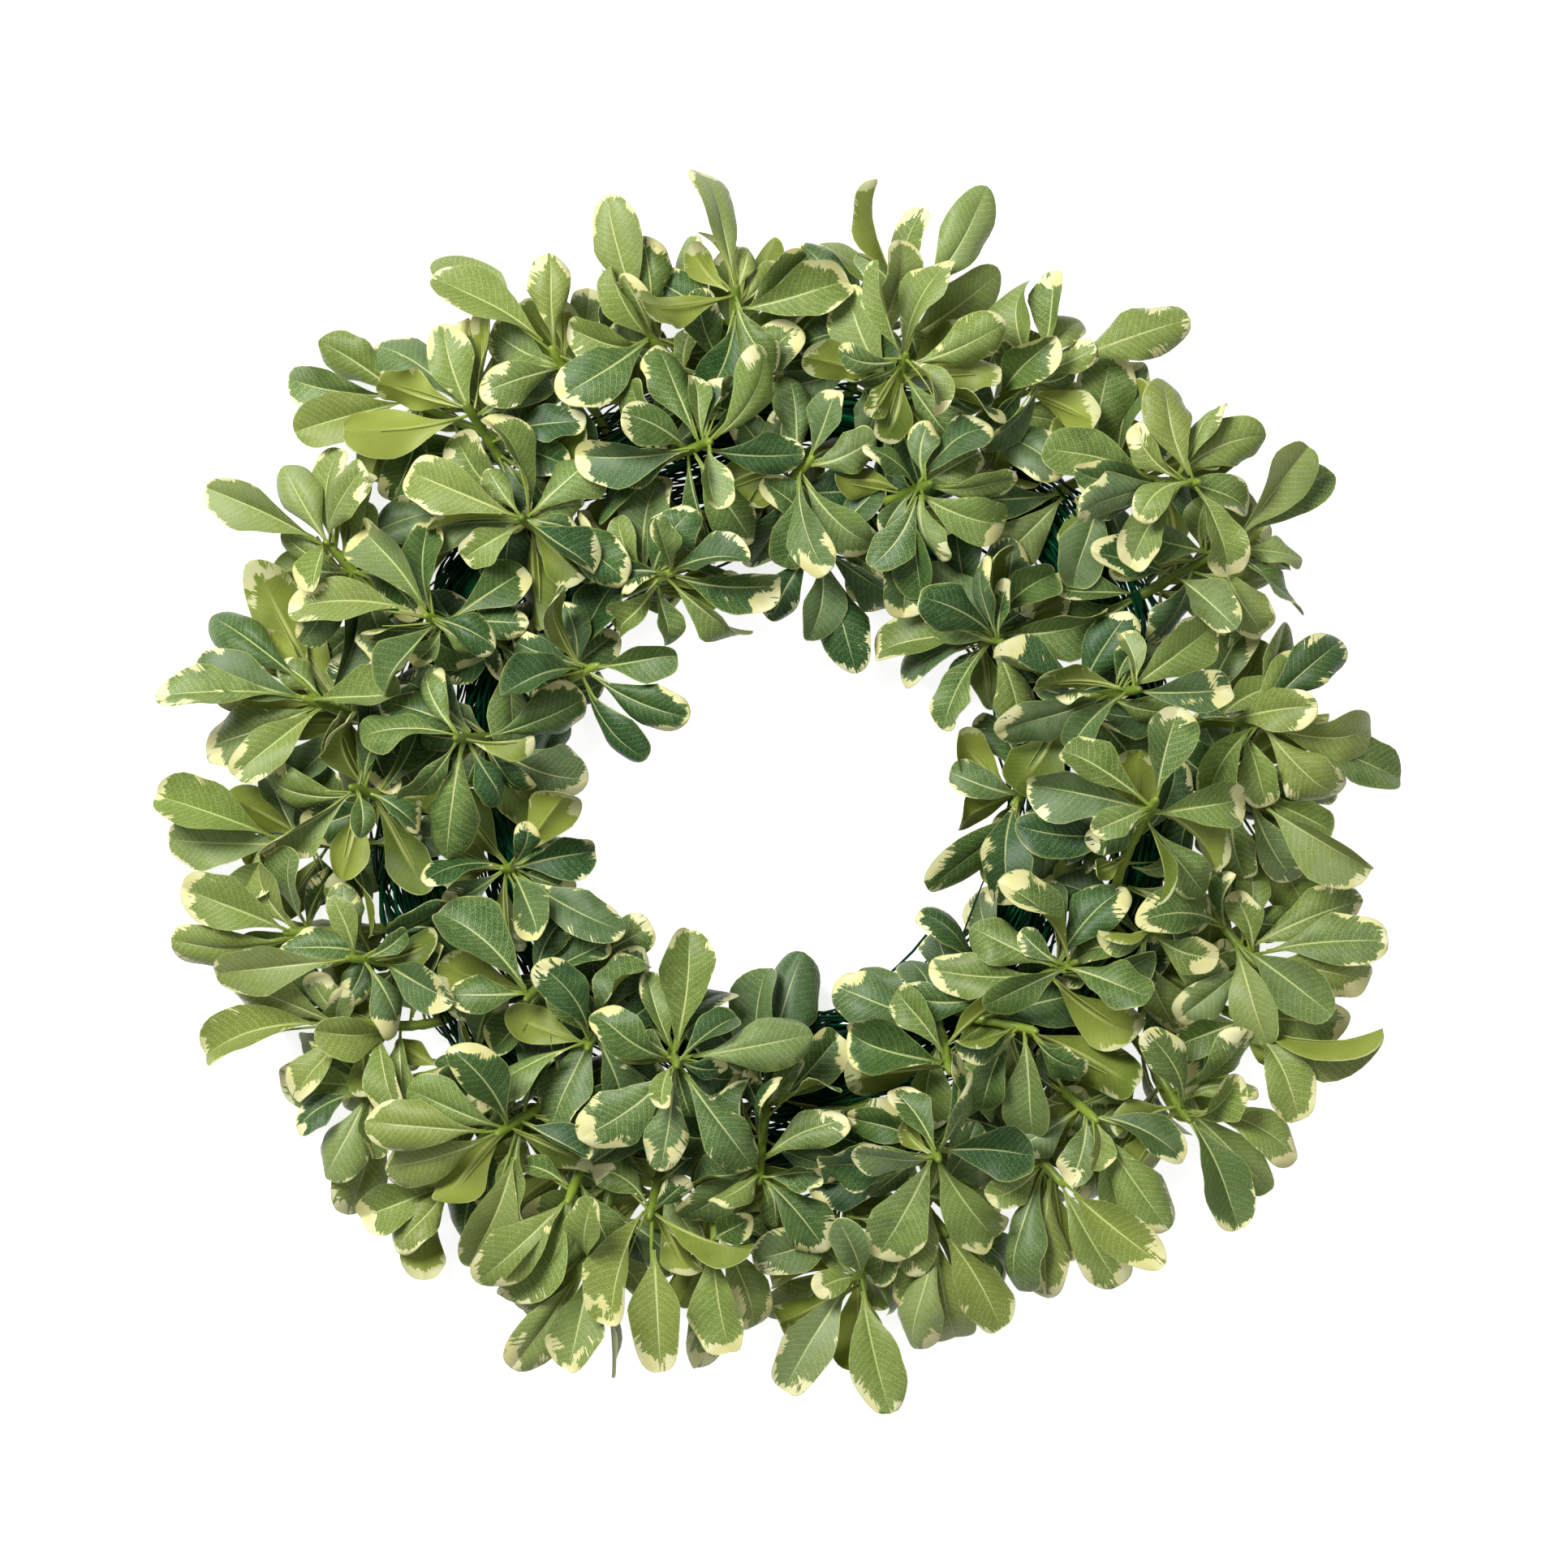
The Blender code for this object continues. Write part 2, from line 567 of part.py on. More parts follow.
def natural_leaf(slot, target, crown, draw):
    """The leaf's root and form before anything is in its way."""
    x, y, look = target
    out = Vector((x - slot[1].x, y - slot[1].y, 0)).normalized()
    root = slot[1] - out * ROOT_SUNK
    reach = max(sqrt((x - root.x) ** 2 + (y - root.y) ** 2), SHORTEST_REACH)
    pitch = LOW_PITCH + (HIGH_PITCH - LOW_PITCH) * height_share(crown)
    pitch += draw.uniform(-PITCH_SPREAD, PITCH_SPREAD)
    tip = root + out * reach + Vector((0, 0, reach * sin(radians(pitch))))
    roll = draw.uniform(-ROLL_SPREAD, ROLL_SPREAD)
    bow = draw.uniform(*BOW)
    twist = draw.uniform(-TWIST_SPREAD, TWIST_SPREAD)
    fold = draw.uniform(*FOLD)
    slender = draw.uniform(*SLENDER)
    if look == UNDER:
        roll += 180
    elif look == EDGE:
        roll = draw.choice([-1, 1]) * draw.uniform(*EDGE_ROLL)
        twist = draw.choice([-1, 1]) * draw.uniform(*EDGE_TWIST)
    width = min(max((tip - root).length * slender, LEAF_WIDTH[0]), LEAF_WIDTH[1])
    return root, tip, radians(roll), bow, radians(twist), radians(fold), width, look is None


def bent(form, way):
    """The leaf with this bend."""
    root, tip, roll, bow, twist, fold, width, folded = form
    rise, swing, more_roll, length = way
    reach = Quaternion((0, 0, 1), swing) @ (tip - root) * length
    return Leaf(root, root + reach + Vector((0, 0, rise)), roll + more_roll, bow, twist, fold,
                width * sqrt(length), folded)


def pick_slot(slots, target):
    """The free place on the stem that gives a leaf a usual length and points it forward."""
    best = None
    if target[2] == LOW:
        return slots.pop(len(slots) * 2 // 3)
    for order, (back, place, way) in enumerate(slots):
        reach = Vector((target[0] - place.x, target[1] - place.y, TIP_RISE))
        length = reach.length / MM
        cost = max(length - LONG_LEAF, 0) * 0.16 + max(SHORT_LEAF - length, 0) * 0.05 + order * 0.16
        cost += 1.4 * (1 - reach.normalized().dot(way))
        if best is None or cost < best[0]:
            best = (cost, order)
    return slots.pop(best[1])


def grow_leaves(number, stem, crown, tips, placed, ways):
    """The sprig's leaves, each bent by the slightest way that keeps it clear."""
    leaves = []
    own_outer = number + OUTER_PART
    slots = leaf_slots(stem)
    for order, target in enumerate(leaf_targets(number, crown, tips)):
        draw = Random(SEED * 100000 + number * 100 + order)
        form = natural_leaf(pick_slot(slots, target), target, crown, draw)
        for way in ways:
            leaf = bent(form, way)
            points, faces = blade(leaf, CLEARANCE)
            if not within_bounds(points):
                continue
            if placed.hits(points, faces, lambda owner: owner not in (number, own_outer)):
                continue
            outer = blade(leaf, CLEARANCE / 2, OWN_CLEAR_FROM)
            if placed.hits(*outer, lambda owner: owner == own_outer):
                continue
            if placed.hits(*blade(leaf), lambda owner: owner == own_outer):
                continue
            placed.add(*blade(leaf), number)
            placed.add(*blade(leaf, 0.0, OWN_CLEAR_FROM), own_outer)
            leaves.append(leaf)
            break
    return leaves


# The wreath


def plan_stems(placed):
    """Every stem, its foot moved along the hoop where it would touch an earlier one."""
    stems = {}
    order = sorted(range(len(SPRIGS)), key=lambda place: -SPRIGS[place][2][2])
    for place in order:
        ring, bearing, crown, _ = SPRIGS[place]
        radius = INNER_RADIUS if ring == "inner" else OUTER_RADIUS
        crown = Vector(crown) * MM
        for shift in FOOT_SHIFTS:
            points, normal = stem_points(radius, radians((bearing + shift) % 360), crown)
            if placed.hits(*stem_tube(points, normal, SEAT_GAP / 3), lambda owner: owner == 0):
                continue
            if not placed.hits(*stem_tube(points, normal, CLEARANCE), lambda owner: owner != 0):
                break
        else:
            print("no clear place for the stem of sprig", place + 1)
        placed.add(*stem_tube(points, normal), place + 1)
        stems[place] = (points, normal)
    return order, stems


def make_wreath():
    steel = make_material("frame wire", (0.05, 0.06, 0.05), 0.4, 0.8)
    strand = make_material("dark strands", (0.006, 0.035, 0.018), 0.3)
    cloth = make_material("leaf cloth", (0.16, 0.27, 0.09), 0.5)
    pieces = [
        make_wire_frame(steel),
        make_strand_wrap("strand_wrap_inner", INNER_RADIUS, strand, Random(SEED)),
        make_strand_wrap("strand_wrap_outer", OUTER_RADIUS, strand, Random(SEED + 1)),
    ]
    placed = Placed()
    for piece in pieces:
        placed.add([vertex.co.copy() for vertex in piece.data.vertices],
                   [tuple(face.vertices) for face in piece.data.polygons], 0)
    order, stems = plan_stems(placed)
    ways = bends()
    leaf_count = 0
    for place in order:
        points, normal = stems[place]
        crown = Vector(SPRIGS[place][2]) * MM
        leaves = grow_leaves(place + 1, points, crown, SPRIGS[place][3], placed, ways)
        sprig = add_object(f"sprig_{place + 1:02d}", *stem_tube(points, normal), cloth)
        fuse(sprig, [add_object("leaf", *blade(leaf)) for leaf in leaves])
        pieces.append(sprig)
        leaf_count += len(leaves)
    print(leaf_count, "leaves on", len(SPRIGS), "sprigs")
    return pieces


def centre_over_origin(pieces):
    """Hangs every piece on one empty and moves that, so that the outline's middle is over the origin."""
    corners = [vertex.co for piece in pieces for vertex in piece.data.vertices]
    middle = [(min(corner[axis] for corner in corners) + max(corner[axis] for corner in corners)) / 2
              for axis in range(2)]
    holder = bpy.data.objects.new("wreath", None)
    holder.location = (-middle[0], -middle[1], 0)
    bpy.context.scene.collection.objects.link(holder)
    for piece in pieces:
        piece.parent = holder


for existing in list(bpy.data.objects):
    bpy.data.objects.remove(existing)
centre_over_origin(make_wreath())
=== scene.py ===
from math import atan2, cos, exp, pi, radians, sin, sqrt
from random import Random

import bpy
import numpy as np
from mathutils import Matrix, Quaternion, Vector
from mathutils.bvhtree import BVHTree
from mathutils.kdtree import KDTree


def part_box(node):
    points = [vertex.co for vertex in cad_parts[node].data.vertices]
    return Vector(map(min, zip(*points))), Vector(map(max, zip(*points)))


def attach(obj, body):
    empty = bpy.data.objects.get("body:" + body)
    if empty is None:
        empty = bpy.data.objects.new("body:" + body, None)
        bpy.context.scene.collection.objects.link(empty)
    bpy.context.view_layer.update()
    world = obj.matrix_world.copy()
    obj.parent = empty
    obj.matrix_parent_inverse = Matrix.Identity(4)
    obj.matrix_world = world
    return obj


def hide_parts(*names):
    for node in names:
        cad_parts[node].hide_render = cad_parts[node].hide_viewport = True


# Looks of the artificial pittosporum wreath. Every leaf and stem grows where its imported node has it,
# then gets its fine form, and more small leaves fill in low down. Places are measured from the middle
# of the hoops.

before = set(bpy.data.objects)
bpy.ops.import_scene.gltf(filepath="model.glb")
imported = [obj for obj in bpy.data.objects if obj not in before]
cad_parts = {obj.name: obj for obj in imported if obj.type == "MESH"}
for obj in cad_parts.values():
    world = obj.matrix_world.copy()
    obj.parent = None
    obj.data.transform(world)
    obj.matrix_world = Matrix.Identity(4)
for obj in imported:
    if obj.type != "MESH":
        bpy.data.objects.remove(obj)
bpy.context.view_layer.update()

mm = 0.001
seed = 31
up = Vector((0, 0, 1))
down = Vector((0, 0, -1))
frameLow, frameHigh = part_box("wire_frame")
hoopCentre = Vector(((frameLow.x + frameHigh.x) / 2, (frameLow.y + frameHigh.y) / 2, 0))

hoops = {
    "innerRadius": 134 * mm,
    "outerRadius": 184 * mm,
    "segments": 24,
}

# How a leaf shows itself: its underside, its edge, or plainly but low down
under = "under"
edge = "edge"
low = "low"

# Each sprig: its hoop, the bearing of its foot, the place of its crown, and the places of its leaf tips
sprigs = [
    ("outer", 157, (-224, 121, 32), [(-284, 148), (-246, 160), (-218, 168, edge), (-204, 142),
                                     (-240, 108)]),
    ("outer", 127, (-192, 196, 18), [(-246, 202), (-228, 222), (-240, 176)]),
    ("outer", 131, (-154, 188, 49), [(-198, 200, under), (-212, 176, under), (-130, 200), (-166, 228),
                                     (-202, 222)]),
    ("outer", 116, (-112, 216, 44), [(-112, 264), (-170, 248), (-108, 240, under), (-142, 226),
                                     (-146, 200), (-172, 264), (-94, 200)]),
    ("outer", 133, (-126, 132, 66), [(-184, 156), (-144, 158), (-84, 168), (-96, 140), (-156, 112)]),
    ("inner", 152, (-173, 84, 60), [(-208, 128), (-172, 132), (-242, 88), (-180, 62), (-124, 108),
                                    (-124, 80)]),
    ("outer", 97, (-21, 246, 47), [(-36, 308), (-14, 268), (-40, 272), (36, 252), (-4, 234), (-44, 236)]),
    ("outer", 102, (-68, 228, 35), [(-86, 292), (-68, 274), (-84, 256), (-104, 228), (-44, 222)]),
    ("outer", 113, (-34, 169, 69), [(-4, 216), (-40, 204), (-60, 218), (12, 164), (-12, 120), (-30, 112)]),
    ("inner", 92, (16, 162, 47), [(28, 196), (48, 172), (48, 116), (6, 206)]),
    ("outer", 74, (62, 212, 64), [(28, 212), (84, 260), (112, 228), (92, 164)]),
    ("outer", 80, (64, 244, 34), [(44, 300, edge), (40, 264), (72, 286), (96, 300)]),
    ("inner", 72, (74, 149, 62), [(74, 180), (78, 110), (46, 108), (114, 128), (100, 166)]),
    ("outer", 60, (132, 208, 38), [(136, 256), (118, 252), (156, 216), (204, 232), (152, 194, under),
                                   (158, 178, under)]),
    ("outer", 46, (206, 150, 56), [(166, 216), (190, 202), (174, 178), (188, 162, under), (144, 100),
                                   (172, 108), (216, 192), (240, 174), (234, 138)]),
    ("outer", 29, (226, 122, 43), [(260, 168), (280, 162), (260, 114), (240, 76), (176, 124), (212, 144)]),
    ("inner", 17, (176, 48, 64), [(168, 76), (108, 30), (222, 48), (216, 80), (196, 68)]),
    ("outer", 342, (184, -6, 74), [(196, 40), (138, 20), (150, -28), (232, -6), (212, -56)]),
    ("outer", 335, (186, -68, 50), [(130, -46), (138, -74), (216, -84), (180, -100), (198, -122),
                                    (148, -30, under)]),
    ("outer", 9, (240, 32, 47), [(296, 28), (308, 4), (280, 74), (262, 66), (206, 32), (216, 10)]),
    ("outer", 0, (238, -6, 33), [(292, -40), (256, -48), (266, 8), (230, -46), (214, -38, under),
                                 (260, -70)]),
    ("outer", 347, (236, -88, 34), [(292, -96), (300, -76), (290, -56), (272, -112), (240, -128)]),
    ("inner", 38, (111, 70, 47), [(46, 68), (70, 84), (58, 54), (80, 28), (120, 24), (164, 82)]),
    ("inner", 1, (116, -8, 34), [(86, 28, under), (84, 8), (86, -18, under), (72, -48), (156, -6)]),
    ("inner", 310, (146, -86, 53), [(74, -90), (100, -108), (118, -70), (92, -72), (170, -48)]),
    ("inner", 131, (-52, 106, 54), [(0, 100), (-16, 72), (-84, 76), (-52, 70), (-80, 134), (-60, 156)]),
    ("inner", 80, (16, 116, 37), [(-4, 82), (16, 72), (44, 58), (54, 104)]),
    ("inner", 170, (-158, 24, 72), [(-94, 44), (-94, 4), (-184, -8), (-176, 60), (-164, -36), (-134, -8)]),
    ("inner", 157, (-90, 60, 42), [(-50, 66), (-44, 34), (-66, 13, edge), (-106, 92)]),
    ("outer", 171, (-234, 44, 43), [(-306, 44), (-286, 60), (-286, 20), (-268, 6), (-284, 88),
                                    (-260, 112, under), (-248, 82, under), (-212, 68), (-214, 12)]),
    ("outer", 180, (-210, 0, 54), [(-256, -28), (-216, -46, under), (-190, 34), (-174, -52, under),
                                   (-260, 6)]),
    ("outer", 188, (-246, -28, 27), [(-308, -4), (-304, -26), (-272, -56), (-226, -62)]),
    ("outer", 200, (-244, -72, 30), [(-296, -50), (-262, -34), (-222, -40), (-302, -76), (-280, -102)]),
    ("outer", 206, (-212, -84, 49), [(-278, -92), (-214, -46), (-206, -104), (-186, -122)]),
    ("inner", 196, (-136, -40, 47), [(-132, -84, under), (-90, -32), (-72, -62), (-104, 0, under),
                                     (-166, -60)]),
    ("inner", 219, (-124, -104, 56), [(-168, -60), (-162, -102), (-104, -62), (-84, -78)]),
    ("outer", 215, (-222, -118, 32), [(-286, -132), (-272, -96), (-232, -92), (-242, -154),
                                      (-204, -154, under)]),
    ("outer", 222, (-210, -152, 27), [(-240, -168), (-226, -194), (-200, -184), (-250, -146),
                                      (-214, -214), (-190, -126, under)]),
    ("outer", 229, (-166, -200, 18), [(-208, -214), (-192, -228), (-176, -244, edge)]),
    ("outer", 234, (-138, -170, 56), [(-204, -164), (-182, -148), (-198, -188), (-166, -208, under),
                                      (-154, -236), (-134, -218), (-102, -164)]),
    ("outer", 241, (-104, -204, 44), [(-152, -240), (-128, -186), (-108, -244), (-136, -254), (-84, -236)]),
    ("inner", 232, (-94, -128, 57), [(-136, -112, under), (-154, -156), (-108, -92), (-76, -160),
                                     (-60, -104)]),
    ("inner", 248, (-50, -136, 74), [(-98, -172), (-58, -188), (-10, -188), (16, -122), (-72, -122),
                                     (-44, -70), (-66, -92), (-24, -96)]),
    ("outer", 247, (-94, -238, 32), [(-104, -288), (-84, -292, edge), (-66, -252), (-138, -284),
                                     (-128, -262)]),
    ("outer", 253, (-64, -212, 40), [(-92, -188), (-44, -244, under), (-58, -288), (-72, -268)]),
    ("outer", 261, (-32, -226, 37), [(-24, -278), (-40, -288), (-10, -268), (-2, -226, edge)]),
    ("inner", 268, (-10, -194, 49), [(20, -188), (-2, -216), (-44, -192), (34, -164), (12, -82),
                                     (-8, -88)]),
    ("outer", 293, (78, -182, 69), [(56, -148), (60, -164, under), (20, -174), (32, -190), (48, -232),
                                    (108, -224), (64, -242)]),
    ("outer", 279, (42, -248, 30), [(-4, -268, under), (-4, -246, under), (2, -298), (40, -292, under),
                                    (54, -308)]),
    ("outer", 287, (82, -220, 40), [(62, -280), (110, -268), (88, -278)]),
    ("inner", 304, (84, -140, 52), [(30, -144, under), (32, -122), (56, -100), (112, -160)]),
    ("inner", 320, (126, -120, 52), [(148, -144), (124, -174), (98, -132), (96, -158), (178, -150, under)]),
    ("outer", 314, (156, -164, 47), [(192, -218), (172, -214), (144, -196), (114, -180), (180, -140)]),
    ("outer", 304, (140, -196, 38), [(168, -246), (188, -234), (132, -254), (112, -250), (104, -204)]),
    ("outer", 326, (202, -164, 49), [(224, -216), (256, -182), (166, -172, edge), (236, -148),
                                     (242, -200)]),
    ("outer", 334, (234, -118, 37), [(256, -164), (194, -128), (254, -136, under), (282, -116),
                                     (294, -134, edge)]),
]


# Materials


def srgb(red, green, blue):
    share = [value / 255 for value in (red, green, blue)]
    return tuple(((v + 0.055) / 1.055) ** 2.4 if v > 0.04 else v / 12.92 for v in share) + (1,)


class Paint:
    # A material's nodes, made one after another. A value may be a number, a colour or another socket

    def __init__(self, name):
        self.material = bpy.data.materials.new(name)
        self.material.use_nodes = True
        self.nodes = self.material.node_tree.nodes
        self.links = self.material.node_tree.links
        self.shader = self.nodes["Principled BSDF"]

    def put(self, socket, value):
        if isinstance(value, bpy.types.NodeSocket):
            self.links.new(value, socket)
        elif value is not None:
            socket.default_value = value

    def sum(self, operation, a, b=None, c=None):
        node = self.nodes.new("ShaderNodeMath")
        node.operation = operation
        for socket, value in zip(node.inputs, (a, b, c)):
            self.put(socket, value)
        return node.outputs[0]

    def ramp(self, value, start, end, low=0.0, high=1.0):
        node = self.nodes.new("ShaderNodeMapRange")
        node.interpolation_type = "SMOOTHSTEP"
        for name, given in (("Value", value), ("From Min", start), ("From Max", end),
                            ("To Min", low), ("To Max", high)):
            self.put(node.inputs[name], given)
        return node.outputs["Result"]

    def mix(self, share, first, second, way="MIX"):
        node = self.nodes.new("ShaderNodeMix")
        node.data_type = "RGBA"
        node.blend_type = way
        self.put(node.inputs[0], share)
        self.put(node.inputs[6], first)
        self.put(node.inputs[7], second)
        return node.outputs[2]

    def parts(self, attribute):
        node = self.nodes.new("ShaderNodeAttribute")
        node.attribute_name = attribute
        split = self.nodes.new("ShaderNodeSeparateXYZ")
        self.put(split.inputs[0], node.outputs["Vector"])
        return split.outputs[0], split.outputs[1], split.outputs[2]

    def point(self, x, y, z):
        node = self.nodes.new("ShaderNodeCombineXYZ")
        for socket, value in zip(node.inputs, (x, y, z)):
            self.put(socket, value)
        return node.outputs[0]

    def noise(self, place, size, detail=2.0, roughness=0.5):
        node = self.nodes.new("ShaderNodeTexNoise")
        self.put(node.inputs["Vector"], place)
        node.inputs["Scale"].default_value = size
        node.inputs["Detail"].default_value = detail
        node.inputs["Roughness"].default_value = roughness
        return node.outputs["Fac"]

    def cells(self, place, size):
        node = self.nodes.new("ShaderNodeTexVoronoi")
        node.feature = "DISTANCE_TO_EDGE"
        node.voronoi_dimensions = "2D"
        self.put(node.inputs["Vector"], place)
        node.inputs["Scale"].default_value = size
        return node.outputs["Distance"]

    def times(self, a, b):
        return self.sum("MULTIPLY", a, b)

    def plus(self, a, b):
        return self.sum("ADD", a, b)

    def less(self, a, b):
        return self.sum("SUBTRACT", a, b)

    def spread(self, value, size):
        # The value less its middle of a half, times the size
        return self.times(self.less(value, 0.5), size)

    def objectPlace(self):
        return self.nodes.new("ShaderNodeTexCoord").outputs["Object"]

    def bump(self, height, strength, distance):
        node = self.nodes.new("ShaderNodeBump")
        node.inputs["Strength"].default_value = strength
        node.inputs["Distance"].default_value = distance
        self.put(node.inputs["Height"], height)
        self.put(self.shader.inputs["Normal"], node.outputs[0])

    def surface(self, colour, roughness, gloss=None):
        self.put(self.shader.inputs["Base Color"], colour)
        self.shader.inputs["Roughness"].default_value = roughness
        if gloss is not None:
            self.shader.inputs["Specular IOR Level"].default_value = gloss
        return self.material


leafColours = {
    "fresh": srgb(112, 140, 52),
    "green": srgb(62, 98, 30),
    "deep": srgb(24, 64, 26),
    "warm": srgb(138, 148, 54),
    "cool": srgb(44, 88, 50),
    # a pale grey-green painted sheen, standing in for light off the satin cloth
    "paintedSheen": srgb(162, 180, 132),
    "vein": srgb(192, 206, 142),
    "veinDeep": srgb(124, 156, 92),
    "midrib": srgb(212, 220, 152),
    "cream": srgb(248, 245, 192),
    "creamDeep": srgb(238, 232, 160),
    "rim": srgb(186, 198, 114),
    "between": srgb(132, 156, 82),
    "back": srgb(154, 166, 70),
    "backDeep": srgb(98, 118, 42),
    "backRib": srgb(204, 208, 124),
    "roughness": 0.42,
    "backRoughness": 0.5,
    "gloss": 0.36,
}

# The leaves' materials read their places in millimetres. In a ramp the first two numbers are where it
# starts and ends, and the last two what it gives there.
veins = {
    "apart": 3.3,
    "slant": (0.024, 0.42),           # what each millimetre out adds to it, and the slant at the midrib
    "stagger": 0.7,                   # between the two halves of a leaf
    "drift": 1.8,
    "driftScale": 0.2,
    "netShift": 7.0,                  # keeps the nets of two leaves apart
    "netCell": 1.0,
    "netStretch": 0.8,
    "side": (0.2, 0.04),              # ramps from no line to a full one
    "net": (0.14, 0.03),
}


def veinPattern(paint, x, y, mark):
    # Side veins leave the midrib at a slant and bend towards the tip, with a fine net between them
    across = paint.sum("ABSOLUTE", y)
    slant = paint.sum("MULTIPLY_ADD", across, *veins["slant"])
    straight = paint.less(x, paint.times(across, slant))
    straight = paint.sum("MULTIPLY_ADD", paint.sum("SIGN", y), veins["stagger"], straight)
    drift = paint.noise(paint.point(x, y, mark), veins["driftScale"])
    along = paint.sum("MULTIPLY_ADD", drift, veins["drift"], straight)
    side = paint.sum("PINGPONG", along, veins["apart"] / 2)
    apart = paint.sum("MULTIPLY_ADD", mark, veins["netShift"], along)
    stretched = paint.times(y, veins["netStretch"])
    net = paint.cells(paint.point(apart, stretched, 0.0), 1 / veins["netCell"])
    return across, along, paint.ramp(side, *veins["side"]), paint.ramp(net, *veins["net"])


creamMargin = {
    "toothStretch": 0.16,             # how much slower the teeth change along themselves
    "sideTeeth": (0.8, 3.0, 0.62),    # scale, detail and roughness of their noise
    "tipTeeth": (0.7, 3.0, 0.62),
    "tipStarts": (0.76, 0.94),        # shares of the blade where the teeth turn towards the foot
    "patches": (0.085, 1.0),
    "patchShift": 1.7,
    "body": (0.45, 0.94, -6.0, 3.6),
    "patchReach": 32.0,
    "toothReach": 19.0,
}


def creamReach(paint, x, y, along, cream, mark, share):
    # How far the cream comes in from the margin, with teeth along the side veins
    short = creamMargin["toothStretch"]
    sideTeeth = paint.point(along, paint.times(y, short), mark)
    sideTeeth = paint.noise(sideTeeth, *creamMargin["sideTeeth"])
    tipTeeth = paint.point(paint.times(x, short), y, mark)
    tipTeeth = paint.noise(tipTeeth, *creamMargin["tipTeeth"])
    atTip = paint.ramp(share, *creamMargin["tipStarts"])
    teeth = paint.sum("MULTIPLY_ADD", paint.less(tipTeeth, sideTeeth), atTip, sideTeeth)
    shifted = paint.point(x, y, paint.times(mark, creamMargin["patchShift"]))
    patches = paint.spread(paint.noise(shifted, *creamMargin["patches"]), creamMargin["patchReach"])
    body = paint.plus(patches, paint.ramp(share, *creamMargin["body"]))
    inner = paint.spread(teeth, creamMargin["toothReach"])
    return paint.times(paint.plus(body, inner), cream)


def creamShare(paint, rim, reach, edge, most):
    # Full where the rim is nearer than the cream's reach, with an edge this wide on either side
    return paint.ramp(rim, paint.less(reach, edge), paint.plus(reach, edge), most, 0.0)


leafPrint = {
    "clouds": (0.09, 2.0),            # scale and detail of the noise
    "cloudDepth": 0.8,
    "warmth": 0.6,
    "patches": (0.3, 2.0),
    "sideLines": (0.25, 0.6, 0.5, 0.84),
    "netLines": (0.3, 0.7, 0.34, 0.68),
    "veinDeepens": (0.2, 0.95),
    # where on a leaf its painted sheen shows, by the clouds
    "paintedSheenShare": (0.35, 0.65, 0.3, 1.0),
    "between": (0.4, 2.0),            # a middle green past the cream, from the first to the second
    "betweenShare": 0.5,
    "betweenPatches": (0.4, 0.6),
    "creamEdge": 0.15,
    "creamPatches": (0.35, 0.65),
    "rim": (0.15, 0.55, 0.5, 0.0),
    "ribHalf": (0.0, 1.0, 0.54, 0.1),
    "ribEdge": 0.25,
    "ribFades": (0.7, 0.98, 0.9, 0.1),
    "ribOnDeep": (0.5, 1.0, 1.0, 0.76),
    "ribPales": (0.02, 0.2),
    "bump": (0.4, 0.15 * mm),
}


def makeLeafTop():
    paint = Paint("printedLeafFace")
    x, y, rim = paint.parts("leafPlace")
    tone, cream, mark = paint.parts("leafKind")
    share, warm, paintedSheen = paint.parts("leafLook")
    across, along, side, net = veinPattern(paint, x, y, mark)
    place = paint.point(x, y, mark)
    cloudy = paint.noise(place, *leafPrint["clouds"])
    depth = paint.plus(tone, paint.spread(cloudy, leafPrint["cloudDepth"]))
    green = paint.mix(paint.ramp(depth, 0.0, 0.5), leafColours["fresh"], leafColours["green"])
    green = paint.mix(paint.ramp(depth, 0.5, 1.0), green, leafColours["deep"])
    green = paint.mix(paint.times(warm, leafPrint["warmth"]), green, leafColours["warm"])
    green = paint.mix(paint.times(warm, -leafPrint["warmth"]), green, leafColours["cool"])
    patchy = paint.noise(place, *leafPrint["patches"])
    side = paint.times(side, paint.ramp(patchy, *leafPrint["sideLines"]))
    net = paint.times(net, paint.ramp(patchy, *leafPrint["netLines"]))
    lines = paint.sum("MAXIMUM", side, net)
    deepens = paint.ramp(depth, *leafPrint["veinDeepens"])
    veined = paint.mix(lines, green, paint.mix(deepens, leafColours["vein"], leafColours["veinDeep"]))
    # Painted sheen: patches of the leaf mixed towards pale grey-green, as if lit off its satin
    paintedSheenShare = paint.times(paintedSheen, paint.ramp(cloudy, *leafPrint["paintedSheenShare"]))
    veined = paint.mix(paintedSheenShare, veined, leafColours["paintedSheen"])
    reach = creamReach(paint, x, y, along, cream, mark, share)
    near, far = (paint.plus(reach, more) for more in leafPrint["between"])
    between = paint.ramp(rim, near, far, leafPrint["betweenShare"], 0.0)
    between = paint.times(between, paint.ramp(cloudy, *leafPrint["betweenPatches"]))
    veined = paint.mix(between, veined, leafColours["between"])
    creamy = creamShare(paint, rim, reach, leafPrint["creamEdge"], 1.0)
    butter = paint.ramp(cloudy, *leafPrint["creamPatches"])
    colour = paint.mix(creamy, veined, paint.mix(butter, leafColours["cream"], leafColours["creamDeep"]))
    colour = paint.mix(paint.ramp(rim, *leafPrint["rim"]), colour, leafColours["rim"])
    ribHalf = paint.ramp(share, *leafPrint["ribHalf"])
    rib = paint.ramp(across, ribHalf, paint.plus(ribHalf, leafPrint["ribEdge"]), 1.0, 0.0)
    rib = paint.times(rib, paint.ramp(share, *leafPrint["ribFades"]))
    rib = paint.times(rib, paint.ramp(tone, *leafPrint["ribOnDeep"]))
    pale = paint.mix(paint.ramp(share, *leafPrint["ribPales"]), stemColours["young"], leafColours["midrib"])
    paint.bump(paint.plus(lines, rib), *leafPrint["bump"])
    return paint.surface(paint.mix(rib, colour, pale), leafColours["roughness"], leafColours["gloss"])


